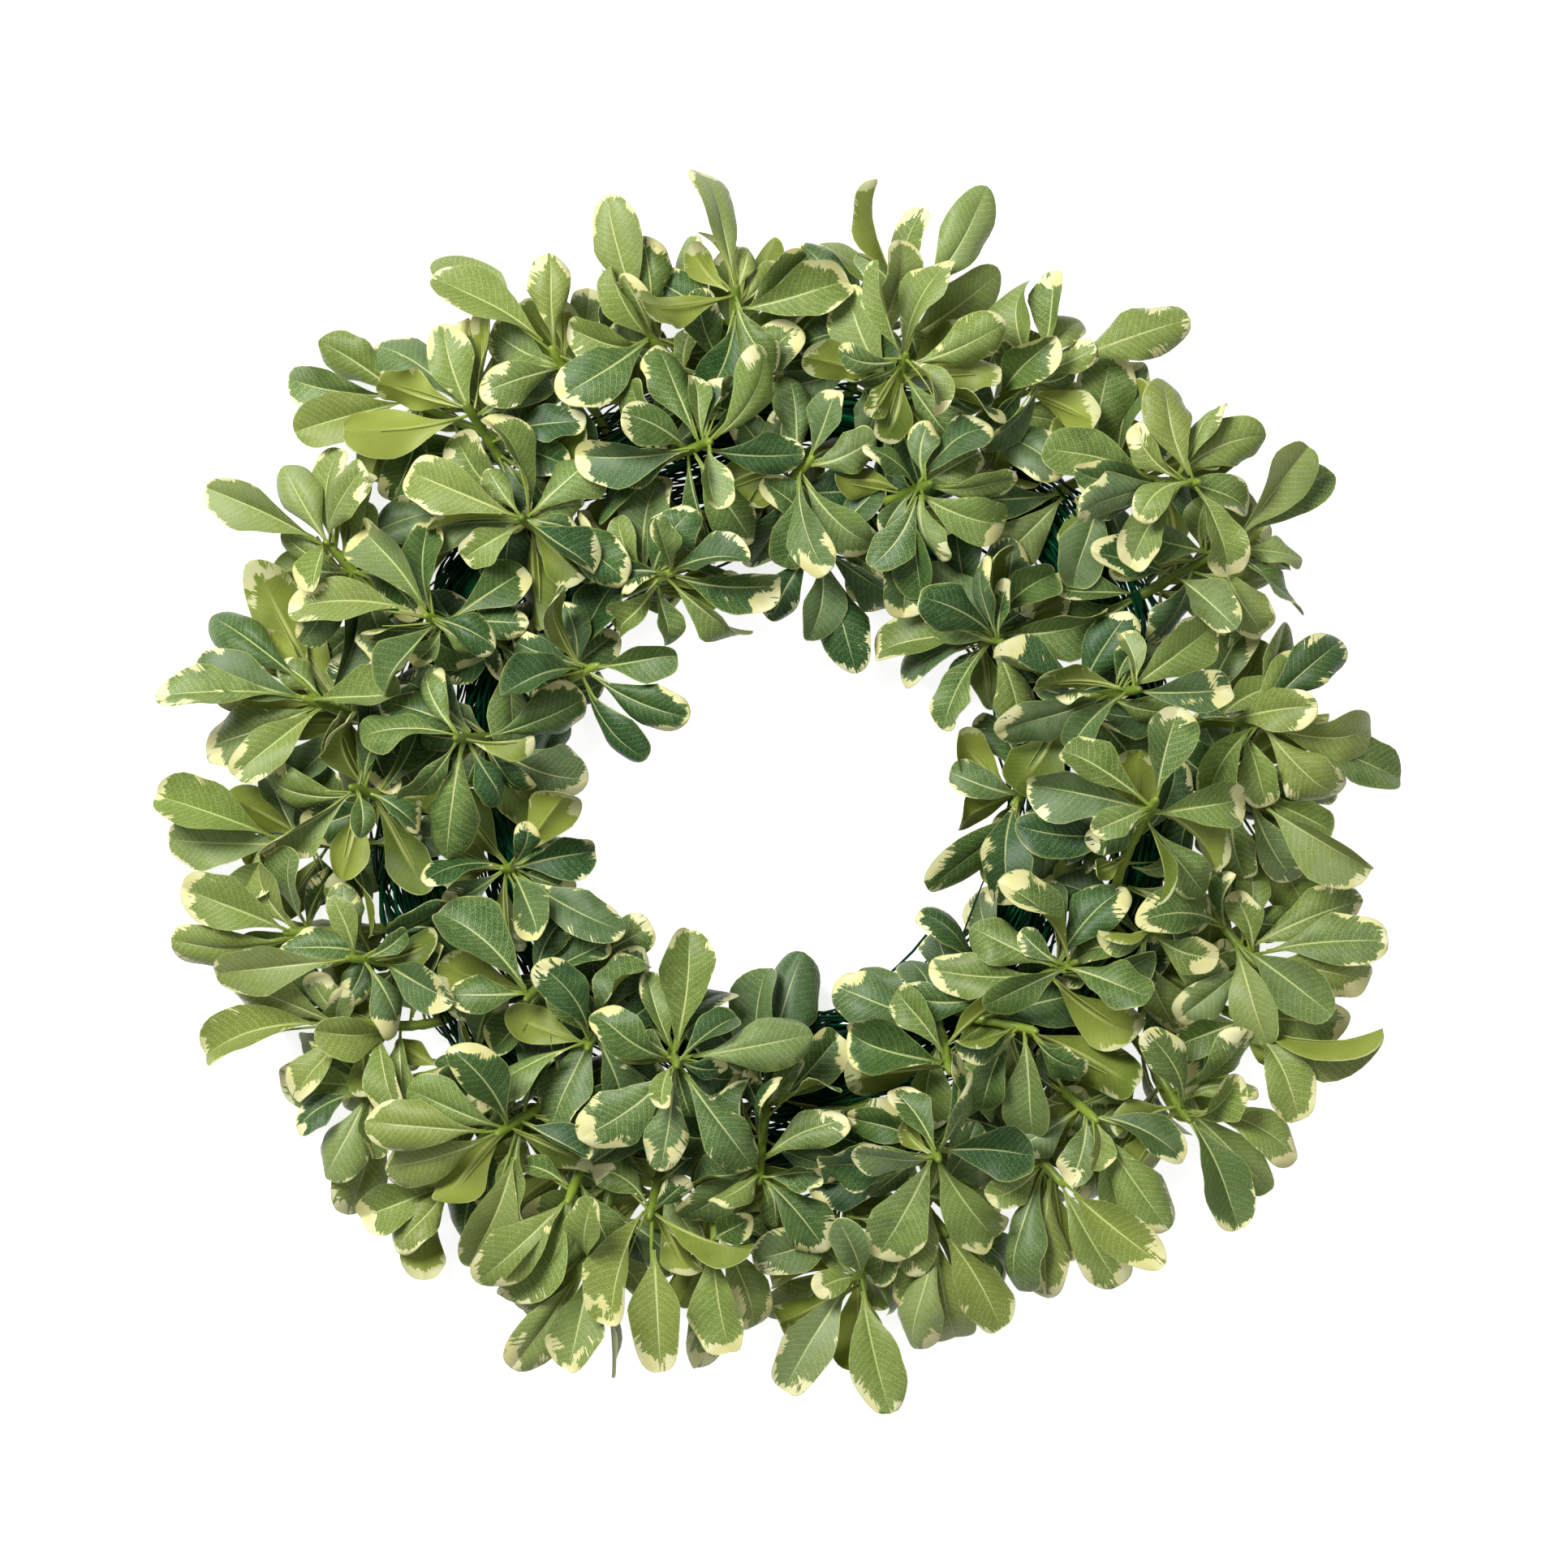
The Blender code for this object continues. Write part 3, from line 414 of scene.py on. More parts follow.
leafUnderside = {
    "clouds": (0.07, 2.0),
    "cloudDepth": 0.9,
    "toneShare": 0.7,
    "deepens": (-0.1, 0.9),
    "sideLines": 0.14,
    "creamEdge": 0.5,
    "creamShare": 0.6,
    "rim": (0.2, 0.8, 0.3, 0.0),
    "rib": (0.5, 1.2, 1.0, 0.0),
    "ribFades": (0.4, 0.85, 0.75, 0.0),
    "bump": (0.25, 0.12 * mm),
}


def makeLeafBack():
    paint = Paint("plainLeafBack")
    x, y, rim = paint.parts("leafPlace")
    tone, cream, mark = paint.parts("leafKind")
    share, _, _ = paint.parts("leafLook")
    across, along, side, _ = veinPattern(paint, x, y, mark)
    cloudy = paint.noise(paint.point(x, y, mark), *leafUnderside["clouds"])
    clouds = paint.spread(cloudy, leafUnderside["cloudDepth"])
    depth = paint.sum("MULTIPLY_ADD", tone, leafUnderside["toneShare"], clouds)
    deepens = paint.ramp(depth, *leafUnderside["deepens"])
    colour = paint.mix(deepens, leafColours["back"], leafColours["backDeep"])
    lines = paint.times(side, leafUnderside["sideLines"])
    colour = paint.mix(lines, colour, leafColours["backRib"])
    reach = creamReach(paint, x, y, along, cream, mark, share)
    creamy = creamShare(paint, rim, reach, leafUnderside["creamEdge"], leafUnderside["creamShare"])
    colour = paint.mix(creamy, colour, leafColours["cream"])
    colour = paint.mix(paint.ramp(rim, *leafUnderside["rim"]), colour, leafColours["rim"])
    rib = paint.ramp(across, *leafUnderside["rib"])
    rib = paint.times(rib, paint.ramp(share, *leafUnderside["ribFades"]))
    colour = paint.mix(rib, colour, leafColours["backRib"])
    paint.bump(paint.plus(side, rib), *leafUnderside["bump"])
    return paint.surface(colour, leafColours["backRoughness"], leafColours["gloss"])


stemColours = {
    "young": srgb(146, 168, 60),
    "old": srgb(112, 136, 44),
    "rib": srgb(172, 184, 92),
    "clouds": (60.0, 2.0),            # scale and detail of the noise, in metres
    "ages": (0.35, 0.65),
    "grain": (900.0, 2.0),
    "bump": (0.25, 0.1 * mm),
    "roughness": 0.38,
}


def makeStemPlastic():
    paint = Paint("mouldedStem")
    share, _, _ = paint.parts("leafLook")
    cloudy = paint.noise(paint.objectPlace(), *stemColours["clouds"])
    colour = paint.mix(paint.ramp(cloudy, *stemColours["ages"]), stemColours["young"], stemColours["old"])
    paint.bump(paint.noise(paint.objectPlace(), *stemColours["grain"]), *stemColours["bump"])
    return paint.surface(paint.mix(share, colour, stemColours["rib"]), stemColours["roughness"])


strandColours = {
    "dark": srgb(8, 42, 27),
    "bright": srgb(20, 122, 70),
    "tints": (0.05, 2.0),
    "brightens": (0.45, 0.7),
    "roughness": 0.2,
}


def makeStrandPlastic():
    paint = Paint("drawnStrand")
    along, _, _ = paint.parts("leafPlace")
    _, _, mark = paint.parts("leafKind")
    tint = paint.noise(paint.point(along, mark, 0.0), *strandColours["tints"])
    bright = paint.ramp(tint, *strandColours["brightens"])
    colour = paint.mix(bright, strandColours["dark"], strandColours["bright"])
    return paint.surface(colour, strandColours["roughness"])


wireColours = {
    "paint": srgb(30, 44, 32),
    "worn": srgb(54, 66, 50),
    "spots": (240.0, 4.0, 0.6),
    "wears": (0.55, 0.7),
    "bump": (0.2, 0.1 * mm),
    "roughness": 0.45,
}


def makeWirePaint():
    paint = Paint("paintedWire")
    spots = paint.noise(paint.objectPlace(), *wireColours["spots"])
    paint.bump(spots, *wireColours["bump"])
    worn = paint.ramp(spots, *wireColours["wears"])
    colour = paint.mix(worn, wireColours["paint"], wireColours["worn"])
    return paint.surface(colour, wireColours["roughness"])


# Meshes


class Shape:
    # Points and faces that are gathered into one mesh, with what the materials read from each point

    def __init__(self):
        self.points, self.places, self.kinds, self.looks = [], [], [], []
        self.corners, self.sizes, self.slots = [], [], []
        self.count = 0

    def add(self, points, faces, slot, place=None, kind=(0, 0, 0), look=(0, 0, 0)):
        # faces is a list of whole-number arrays, one for each number of corners; slot one number for each
        size = len(points)
        self.points.append(np.asarray(points, float).reshape(-1, 3))
        self.places.append(np.zeros((size, 3)) if place is None else np.asarray(place, float))
        self.kinds.append(np.broadcast_to(np.asarray(kind, float), (size, 3)))
        self.looks.append(np.broadcast_to(np.asarray(look, float), (size, 3)))
        for group, material in zip(faces, slot):
            self.corners.append(group.ravel() + self.count)
            self.sizes.append(np.full(len(group), group.shape[1]))
            self.slots.append(np.full(len(group), material))
        self.count += size

    def make(self, name, materials, sharp=50):
        mesh = bpy.data.meshes.new(name)
        points = np.concatenate(self.points) + np.array(hoopCentre)
        corners = np.concatenate(self.corners)
        sizes = np.concatenate(self.sizes)
        mesh.vertices.add(len(points))
        mesh.vertices.foreach_set("co", points.astype(np.float32).ravel())
        mesh.loops.add(len(corners))
        mesh.loops.foreach_set("vertex_index", corners.astype(np.int32))
        mesh.polygons.add(len(sizes))
        mesh.polygons.foreach_set("loop_start", (np.cumsum(sizes) - sizes).astype(np.int32))
        mesh.polygons.foreach_set("material_index", np.concatenate(self.slots).astype(np.int32))
        for material in materials:
            mesh.materials.append(material)
        for label, rows in (("leafPlace", self.places), ("leafKind", self.kinds), ("leafLook", self.looks)):
            attribute = mesh.attributes.new(label, "FLOAT_VECTOR", "POINT")
            attribute.data.foreach_set("vector", np.concatenate(rows).astype(np.float32).ravel())
        mesh.update(calc_edges=True)
        mesh.validate()
        mesh.shade_smooth()
        mesh.set_sharp_from_angle(angle=radians(sharp))
        made = bpy.data.objects.new(name, mesh)
        bpy.context.scene.collection.objects.link(made)
        return made


def tubeParts(points, radii, sides, closed=False, flat=None):
    # Rings of points along a path and the faces between them, with fans at open ends
    count = len(points)
    rings = []
    across = None
    for place, point in enumerate(points):
        before = points[place - 1] if closed or place else point
        after = points[(place + 1) % count] if closed or place < count - 1 else point
        along = (after - before).normalized()
        across = across or (flat or along.orthogonal())
        across = (across - along * across.dot(along)).normalized()
        side = along.cross(across)
        for corner in range(sides):
            turn = 2 * pi * corner / sides
            rings.append(point + radii[place] * (across * cos(turn) + side * sin(turn)))
    quads = []
    for ring in range(count if closed else count - 1):
        for corner in range(sides):
            a = ring * sides + corner
            b = ring * sides + (corner + 1) % sides
            c = (b + sides) % (count * sides)
            d = (a + sides) % (count * sides)
            quads.append((a, b, c, d))
    faces = [np.array(quads)]
    if not closed:
        rings += [points[0], points[-1]]
        first = count * sides
        fans = []
        for corner in range(sides):
            following = (corner + 1) % sides
            fans.append((first, following, corner))
            fans.append((first + 1, (count - 1) * sides + corner, (count - 1) * sides + following))
        faces.append(np.array(fans))
    return rings, faces


# Stems

stemForm = {
    "footRadius": 3 * mm,             # as packed, to find the stem in its node
    "pieces": 3,
    "seatGap": 0.4 * mm,
    "seatMargin": 0.12,
    "footShifts": (0, 2, -2, 4, -4, 6, -6, 8, -8, 10, -10, 12, -12),
    "lowCrown": 22 * mm,
    "highCrown": 74 * mm,
    "levelFrom": 4 * mm,              # the shortest way sideways that bends the end over
    "levelLoss": 0.7,
    "leastLift": 0.15,
    "handles": (0.36, 0.34),          # of its curve, at the foot and at the crown
    "drawnFoot": 2.7 * mm,            # as seen
    "drawnTip": 1.75 * mm,
    "rings": 22,
    "sides": 9,
    "sunkInStrands": 5 * mm,
    "sunkSwell": 1.05,
    "knuckle": 0.55 * mm,
    "knuckleLength": 1.6 * mm,
    "cap": ((1.2 * mm, 0.85), (2 * mm, 0.4)),
}

# Half of a strand wrap's section, as offsets from its hoop and heights, in millimetres
wrapHalf = [(2.1, 6), (2.1, 3.4), (11, 9), (8, 17)]
wrapTop = 21


def wrapOutline():
    right = [(offset * mm, height * mm) for offset, height in wrapHalf]
    return right + [(0, wrapTop * mm)] + [(-offset, height) for offset, height in reversed(right)]


def hoopRadius(ring):
    return hoops["innerRadius"] if ring == "inner" else hoops["outerRadius"]


def seat(radius, bearing, crown):
    step = 2 * pi / hoops["segments"]
    station = int(bearing / step)
    part = min(max(bearing / step - station, stemForm["seatMargin"]), 1 - stemForm["seatMargin"])
    outline = wrapOutline()
    best = None
    for corner in range(2, 6):        # the sides that look up
        ends = []
        for turn in (station * step, (station + 1) * step):
            for offset, height in (outline[corner], outline[corner + 1]):
                ends.append(Vector(((radius + offset) * cos(turn), (radius + offset) * sin(turn), height)))
        place = ends[0].lerp(ends[2], part).lerp(ends[1].lerp(ends[3], part), 0.5)
        normal = (ends[2] - ends[0]).cross(ends[1] - ends[0]).normalized()
        if normal.z < 0:
            normal = -normal
        look = normal.dot((crown - place).normalized())
        if best is None or look > best[0]:
            best = (look, place, normal)
    return best[1], best[2]


def heightShare(crown):
    return min(max((crown.z - stemForm["lowCrown"]) / (stemForm["highCrown"] - stemForm["lowCrown"]), 0), 1)


class Stem:
    # Off its seat at a right angle, then round to the crown

    def __init__(self, radius, bearing, crown):
        place, self.normal = seat(radius, bearing, crown)
        self.foot, self.crown = place + self.normal * stemForm["seatGap"], crown
        way = crown - self.foot
        lift = heightShare(crown)
        level = Vector((way.x, way.y, 0))
        level = level.normalized() if level.length > stemForm["levelFrom"] else Vector((0, 0, 0))
        rise = Vector((0, 0, stemForm["leastLift"] + lift))
        end = (level * (1 - stemForm["levelLoss"] * lift) + rise).normalized()
        self.near = self.foot + self.normal * way.length * stemForm["handles"][0]
        self.far = crown - end * way.length * stemForm["handles"][1]
        self.points = [self.at(step / stemForm["pieces"]) for step in range(stemForm["pieces"] + 1)]

    def at(self, s):
        r = 1 - s
        lower = r ** 3 * self.foot + 3 * s * r ** 2 * self.near
        return lower + 3 * s ** 2 * r * self.far + s ** 3 * self.crown

    def footCorners(self):
        across = self.normal.orthogonal()
        across = (across - self.normal * across.dot(self.normal)).normalized()
        side = self.normal.cross(across)
        radius = stemForm["footRadius"]
        turns = [2 * pi * (corner + 0.5) / 3 for corner in range(3)]
        return [self.foot + radius * (across * cos(turn) + side * sin(turn)) for turn in turns]

    def back(self, distance):
        # The place at this distance from the crown, the way there, and the share of the stem below it
        for place in range(len(self.points) - 1, 0, -1):
            piece = self.points[place] - self.points[place - 1]
            if distance <= piece.length or place == 1:
                part = min(distance, piece.length)
                way = piece.normalized()
                share = (place - part / piece.length) / stemForm["pieces"]
                return self.points[place] - way * part, way, share
            distance -= piece.length

    def length(self):
        return sum((after - before).length for before, after in zip(self.points, self.points[1:]))


# Leaves, as packed

leafRule = {
    "thickness": 0.8 * mm,
    "widestAt": 0.64,
    "shoulderAt": 0.88,
    "shoulderWidth": 0.745,
    "rootSunk": 0.8 * mm,
    "shortestReach": 26 * mm,
    "width": (13 * mm, 30 * mm),
    "slender": (0.46, 0.56),
    "bow": (0.10, 0.26),
    "lowPitch": 12,
    "highPitch": -10,
    "pitchSpread": 9,
    "rollSpread": 32,
    "twistSpread": 16,
    "fold": (8, 22),
    "edgeRoll": (58, 78),
    "edgeTwist": (20, 45),
    "firstLeaf": 3 * mm,
    "leafStep": 3.4 * mm,
    "leafyShare": 0.8,
    "leavesEach": 6,
    "fillerReach": (30 * mm, 50 * mm),
    "fillerTries": 24,
    "shortLeaf": 30,
    "longLeaf": 56,
    "tipRise": 4 * mm,
    "raises": (0, 4, -4, 8, -8, 13, -13, 18, -18, 24, -24, 31, -31),
    "swings": (0, 5, -5, 10, -10, 17, -17),
    "rolls": (0, 20, -20, 40, -40),
    "lengths": (1, 0.88, 0.76),
    "bendCosts": (8, 7, 26, 0.09),    # the rise, swing, roll and shortening that count the same
    "bendsTried": 420,
    # of each millimetre too long, each too short, each step down the stem, and of turning aside
    "slotCosts": (0.16, 0.05, 0.16, 1.4),
    "found": 0.05 * mm,               # how near a packed corner must be
}


class Leaf:
    # Its midrib is a curve from root to tip that bows towards its face

    def __init__(self, root, tip, roll, bow, twist, fold, width):
        self.root, self.tip = root, tip
        self.twist, self.fold, self.width = twist, fold, width
        along = (tip - root).normalized()
        face = up - along * along.z
        self.face = Quaternion(along, roll) @ face.normalized()
        self.arch = (root + tip) / 2 + self.face * bow * (tip - root).length
        self.length = (tip - root).length
        self.known = {}

    def axes(self, s):
        # The midrib's place at s with the ways across the leaf and off its face
        if s not in self.known:
            point = (1 - s) ** 2 * self.root + 2 * s * (1 - s) * self.arch + s * s * self.tip
            along = ((1 - s) * (self.arch - self.root) + s * (self.tip - self.arch)).normalized()
            face = (self.face - along * self.face.dot(along)).normalized()
            face = Quaternion(along, self.twist * s) @ face
            self.known[s] = (point, along.cross(face), face)
        return self.known[s]

    def at(self, s, t, lift=0.0):
        point, side, face = self.axes(s)
        out = t * self.width / 2
        return point + side * out * cos(self.fold) + face * (abs(out) * sin(self.fold) + lift)


def bends():
    ways = []
    oneRise, oneSwing, oneRoll, oneLength = leafRule["bendCosts"]
    for rise in leafRule["raises"]:
        for swing in leafRule["swings"]:
            for roll in leafRule["rolls"]:
                for length in leafRule["lengths"]:
                    cost = abs(rise) / oneRise + abs(swing) / oneSwing + abs(roll) / oneRoll
                    cost += (1 - length) / oneLength
                    ways.append((cost, rise * mm, radians(swing), radians(roll), length))
    ways.sort(key=lambda way: way[0])
    return [way[1:] for way in ways[:leafRule["bendsTried"]]]


def leafSlots(stem):
    count = int((stem.length() * leafRule["leafyShare"] - leafRule["firstLeaf"]) / leafRule["leafStep"])
    steps = range(max(count, leafRule["leavesEach"]))
    return [stem.back(leafRule["firstLeaf"] + leafRule["leafStep"] * step) for step in steps]


def leafTargets(number, crown, tips):
    draw = Random(seed * 1000 + number)
    targets = [(tip[0] * mm, tip[1] * mm, tip[2] if len(tip) > 2 else None) for tip in tips]
    while len(targets) < leafRule["leavesEach"]:
        best = None
        for _ in range(leafRule["fillerTries"]):
            bearing = draw.uniform(0, 2 * pi)
            reach = draw.uniform(*leafRule["fillerReach"])
            x = crown.x + reach * cos(bearing)
            y = crown.y + reach * sin(bearing)
            room = min(sqrt((x - other[0]) ** 2 + (y - other[1]) ** 2) for other in targets)
            if best is None or room > best[0]:
                best = (room, x, y)
        targets.append((best[1], best[2], draw.choice([low, low, under])))
    return targets


def naturalLeaf(slot, target, crown, draw):
    x, y, look = target
    out = Vector((x - slot[0].x, y - slot[0].y, 0)).normalized()
    root = slot[0] - out * leafRule["rootSunk"]
    reach = max(sqrt((x - root.x) ** 2 + (y - root.y) ** 2), leafRule["shortestReach"])
    pitch = leafRule["lowPitch"] + (leafRule["highPitch"] - leafRule["lowPitch"]) * heightShare(crown)
    pitch += draw.uniform(-leafRule["pitchSpread"], leafRule["pitchSpread"])
    tip = root + out * reach + Vector((0, 0, reach * sin(radians(pitch))))
    roll = draw.uniform(-leafRule["rollSpread"], leafRule["rollSpread"])
    bow = draw.uniform(*leafRule["bow"])
    twist = draw.uniform(-leafRule["twistSpread"], leafRule["twistSpread"])
    fold = draw.uniform(*leafRule["fold"])
    slender = draw.uniform(*leafRule["slender"])
    if look == under:
        roll += 180
    elif look == edge:
        roll = draw.choice([-1, 1]) * draw.uniform(*leafRule["edgeRoll"])
        twist = draw.choice([-1, 1]) * draw.uniform(*leafRule["edgeTwist"])
    width = min(max((tip - root).length * slender, leafRule["width"][0]), leafRule["width"][1])
    return root, tip, radians(roll), bow, radians(twist), radians(fold), width


def bentLeaf(form, way):
    root, tip, roll, bow, twist, fold, width = form
    rise, swing, moreRoll, length = way
    reach = Quaternion(up, swing) @ (tip - root) * length
    return Leaf(root, root + reach + up * rise, roll + moreRoll, bow, twist, fold, width * sqrt(length))


def pickSlot(slots, target):
    if target[2] == low:
        return slots.pop(len(slots) * 2 // 3)
    best = None
    tooLong, tooShort, eachStep, aside = leafRule["slotCosts"]
    for order, (place, way, _) in enumerate(slots):
        reach = Vector((target[0] - place.x, target[1] - place.y, leafRule["tipRise"]))
        length = reach.length / mm
        cost = max(length - leafRule["longLeaf"], 0) * tooLong
        cost += max(leafRule["shortLeaf"] - length, 0) * tooShort
        cost += order * eachStep + aside * (1 - reach.normalized().dot(way))
        if best is None or cost < best[0]:
            best = (cost, order)
    return slots.pop(best[1])


class Sprig:
    # A stem with its leaves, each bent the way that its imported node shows

    def __init__(self, number):
        ring, bearing, crown, tips = sprigs[number - 1]
        self.number, self.node = number, f"sprig_{number:02d}"
        corners = [vertex.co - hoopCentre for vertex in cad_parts[self.node].data.vertices]
        self.tree = KDTree(len(corners))
        for index, corner in enumerate(corners):
            self.tree.insert(corner, index)
        self.tree.balance()
        crown = Vector(crown) * mm
        for shift in stemForm["footShifts"]:
            self.stem = Stem(hoopRadius(ring), radians((bearing + shift) % 360), crown)
            if self.packed(self.stem.footCorners()):
                break
        else:
            print("no packed stem found for", self.node)
        self.leaves = []
        self.slots = leafSlots(self.stem)
        for order, target in enumerate(leafTargets(number, crown, tips)):
            draw = Random(seed * 100000 + number * 100 + order)
            slot = pickSlot(self.slots, target)
            form = naturalLeaf(slot, target, crown, draw)
            for way in waysToBend:
                leaf = bentLeaf(form, way)
                half = leafRule["thickness"] / 2
                marks = [(1, 0), (leafRule["widestAt"], -1), (leafRule["widestAt"], 1)]
                if self.packed([leaf.at(s, t, lift) for s, t in marks for lift in (half, -half)]):
                    leaf.socket, leaf.target, leaf.extra = slot[2], target, None
                    self.leaves.append(leaf)
                    break

    def packed(self, points):
        return all(self.tree.find(point)[2] < leafRule["found"] for point in points)


waysToBend = bends()
grown = [Sprig(number + 1) for number in range(len(sprigs))]
print("leaves found in the packed nodes:", sum(len(sprig.leaves) for sprig in grown))


# Leaves, as seen

leafCut = {
    "lowerRows": 9,
    "upperRows": 8,
    "columns": (0.09, 0.38, 0.7, 1),
    "petiole": 4.5 * mm,
    "mostPetiole": 0.42,              # as a share of the length
    "longestBlade": 60 * mm,
    "petioleHalf": 0.9 * mm,
    "thickness": 0.38 * mm,
    "marginThickness": 0.2 * mm,
    "wedge": 0.6,                     # 0 for a rounded lower half, 1 for straight sides
    "taper": (0.95, 1.3),
    "blunt": (0.58, 1.02),            # below 1 a rounder tip, above 1 a more pointed one
    "slim": (0.88, 1.04),
    "groove": 0.3 * mm,               # of the midrib
    "wave": (0.5 * mm, 2.8 * mm),
    "waveLength": (45 * mm, 1.2),     # the leaf that has the wave in full, and the most it grows by
    "waves": (1.0, 2.6),
    "curls": ((-0.65, -0.3), (-0.2, 0.1), (-0.1, 0.25), (0.2, 0.5), (0.4, 0.8)),
    "baseFold": (2.4, 1.0),           # the fold at the petiole and at the tip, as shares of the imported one
    "foldEases": (1.2, 0.4),          # steeper at the midrib, by how much less at the margin
    "lean": 3.8 * mm,
    "tipDrop": (-6.0 * mm, 12.0 * mm, 1.5 * mm),
    "dropLength": 50 * mm,
    "dropFrom": 0.62,
    "turn": 24,                       # spread of the outer half's own turn, in degrees
    "mostTurn": 50,
    "turnFrom": 0.3,
    "turnGrows": 1.4,
    "uneven": 0.08,
    "notch": 0.05,                    # how much the outline wavers, as a share of the width
    "notches": (1.6, 3.6),
    "ribRadii": (1.1 * mm, 0.99 * mm, 0.75 * mm, 0.45 * mm, 0.3375 * mm, 0.2 * mm),
    "ribMarks": (0.25, 0.5, 0.72),    # shares of the blade
    "ribTints": (0, 0, 0.15, 0.75, 0.9, 1),
    "ribSunk": (0.1, 0.4),            # in the petiole and in the blade, as shares of its radius
    "ribSides": 6,
    "rimSteps": 90,
    "lowest": 0.7 * mm,
    "forms": 6,                       # drawn at most for a leaf, until one stands clear of the others
}


def gridFaces():
    # The faces are the same for every leaf: both sheets, from rows of points to one at the tip, and the rim
    columns = 2 * len(leafCut["columns"]) + 1
    rows = leafCut["lowerRows"] + leafCut["upperRows"]
    sheet = rows * columns + 1
    faces = {"top": ([], []), "back": ([], []), "rim": ([], [])}
    for row in range(rows):
        last = row == rows - 1
        for column in range(columns - 1):
            a = row * columns + column
            b = a + 1
            if last:
                faces["top"][1].append((a, b, sheet - 1))
                faces["back"][1].append((a + sheet, 2 * sheet - 1, b + sheet))
            else:
                faces["top"][0].append((a, b, b + columns, a + columns))
                faces["back"][0].append((a + sheet, a + columns + sheet, b + columns + sheet, b + sheet))
        left, right = row * columns, row * columns + columns - 1
        leftNext = sheet - 1 if last else left + columns
        rightNext = sheet - 1 if last else right + columns
        faces["rim"][0].append((left, leftNext, leftNext + sheet, left + sheet))
        faces["rim"][0].append((right, right + sheet, rightNext + sheet, rightNext))
    for column in range(columns - 1):
        faces["rim"][0].append((column, column + sheet, column + 1 + sheet, column + 1))
    groups = [faces["top"][0], faces["top"][1], faces["back"][0], faces["back"][1], faces["rim"][0]]
    return [np.array(group) for group in groups]


leafFaces = gridFaces()
leafSlotsOfFaces = (0, 0, 1, 1, 0)
leafColumns = np.array([-t for t in reversed(leafCut["columns"])] + [0] + list(leafCut["columns"]))


def leafRows(leaf, blunt, taper):
    # Shares of the length and of the width, from the end of the petiole to the tip
    first = max(leafCut["petiole"] / leaf.length, 1 - leafCut["longestBlade"] / leaf.length)
    first = min(first, leafCut["mostPetiole"])
    widest = leafRule["widestAt"]
    rows = []
    for step in range(leafCut["lowerRows"]):
        u = step / leafCut["lowerRows"]
        wedge = leafCut["wedge"] * u + (1 - leafCut["wedge"]) * (1 - cos(pi * u)) / 2
        rows.append((first + (widest - first) * u, wedge ** taper))
    for step in range(leafCut["upperRows"] + 1):
        turn = pi / 2 * step / leafCut["upperRows"]
        rows.append((widest + (1 - widest) * sin(turn), max(cos(turn), 0) ** blunt))
    return np.array(rows)


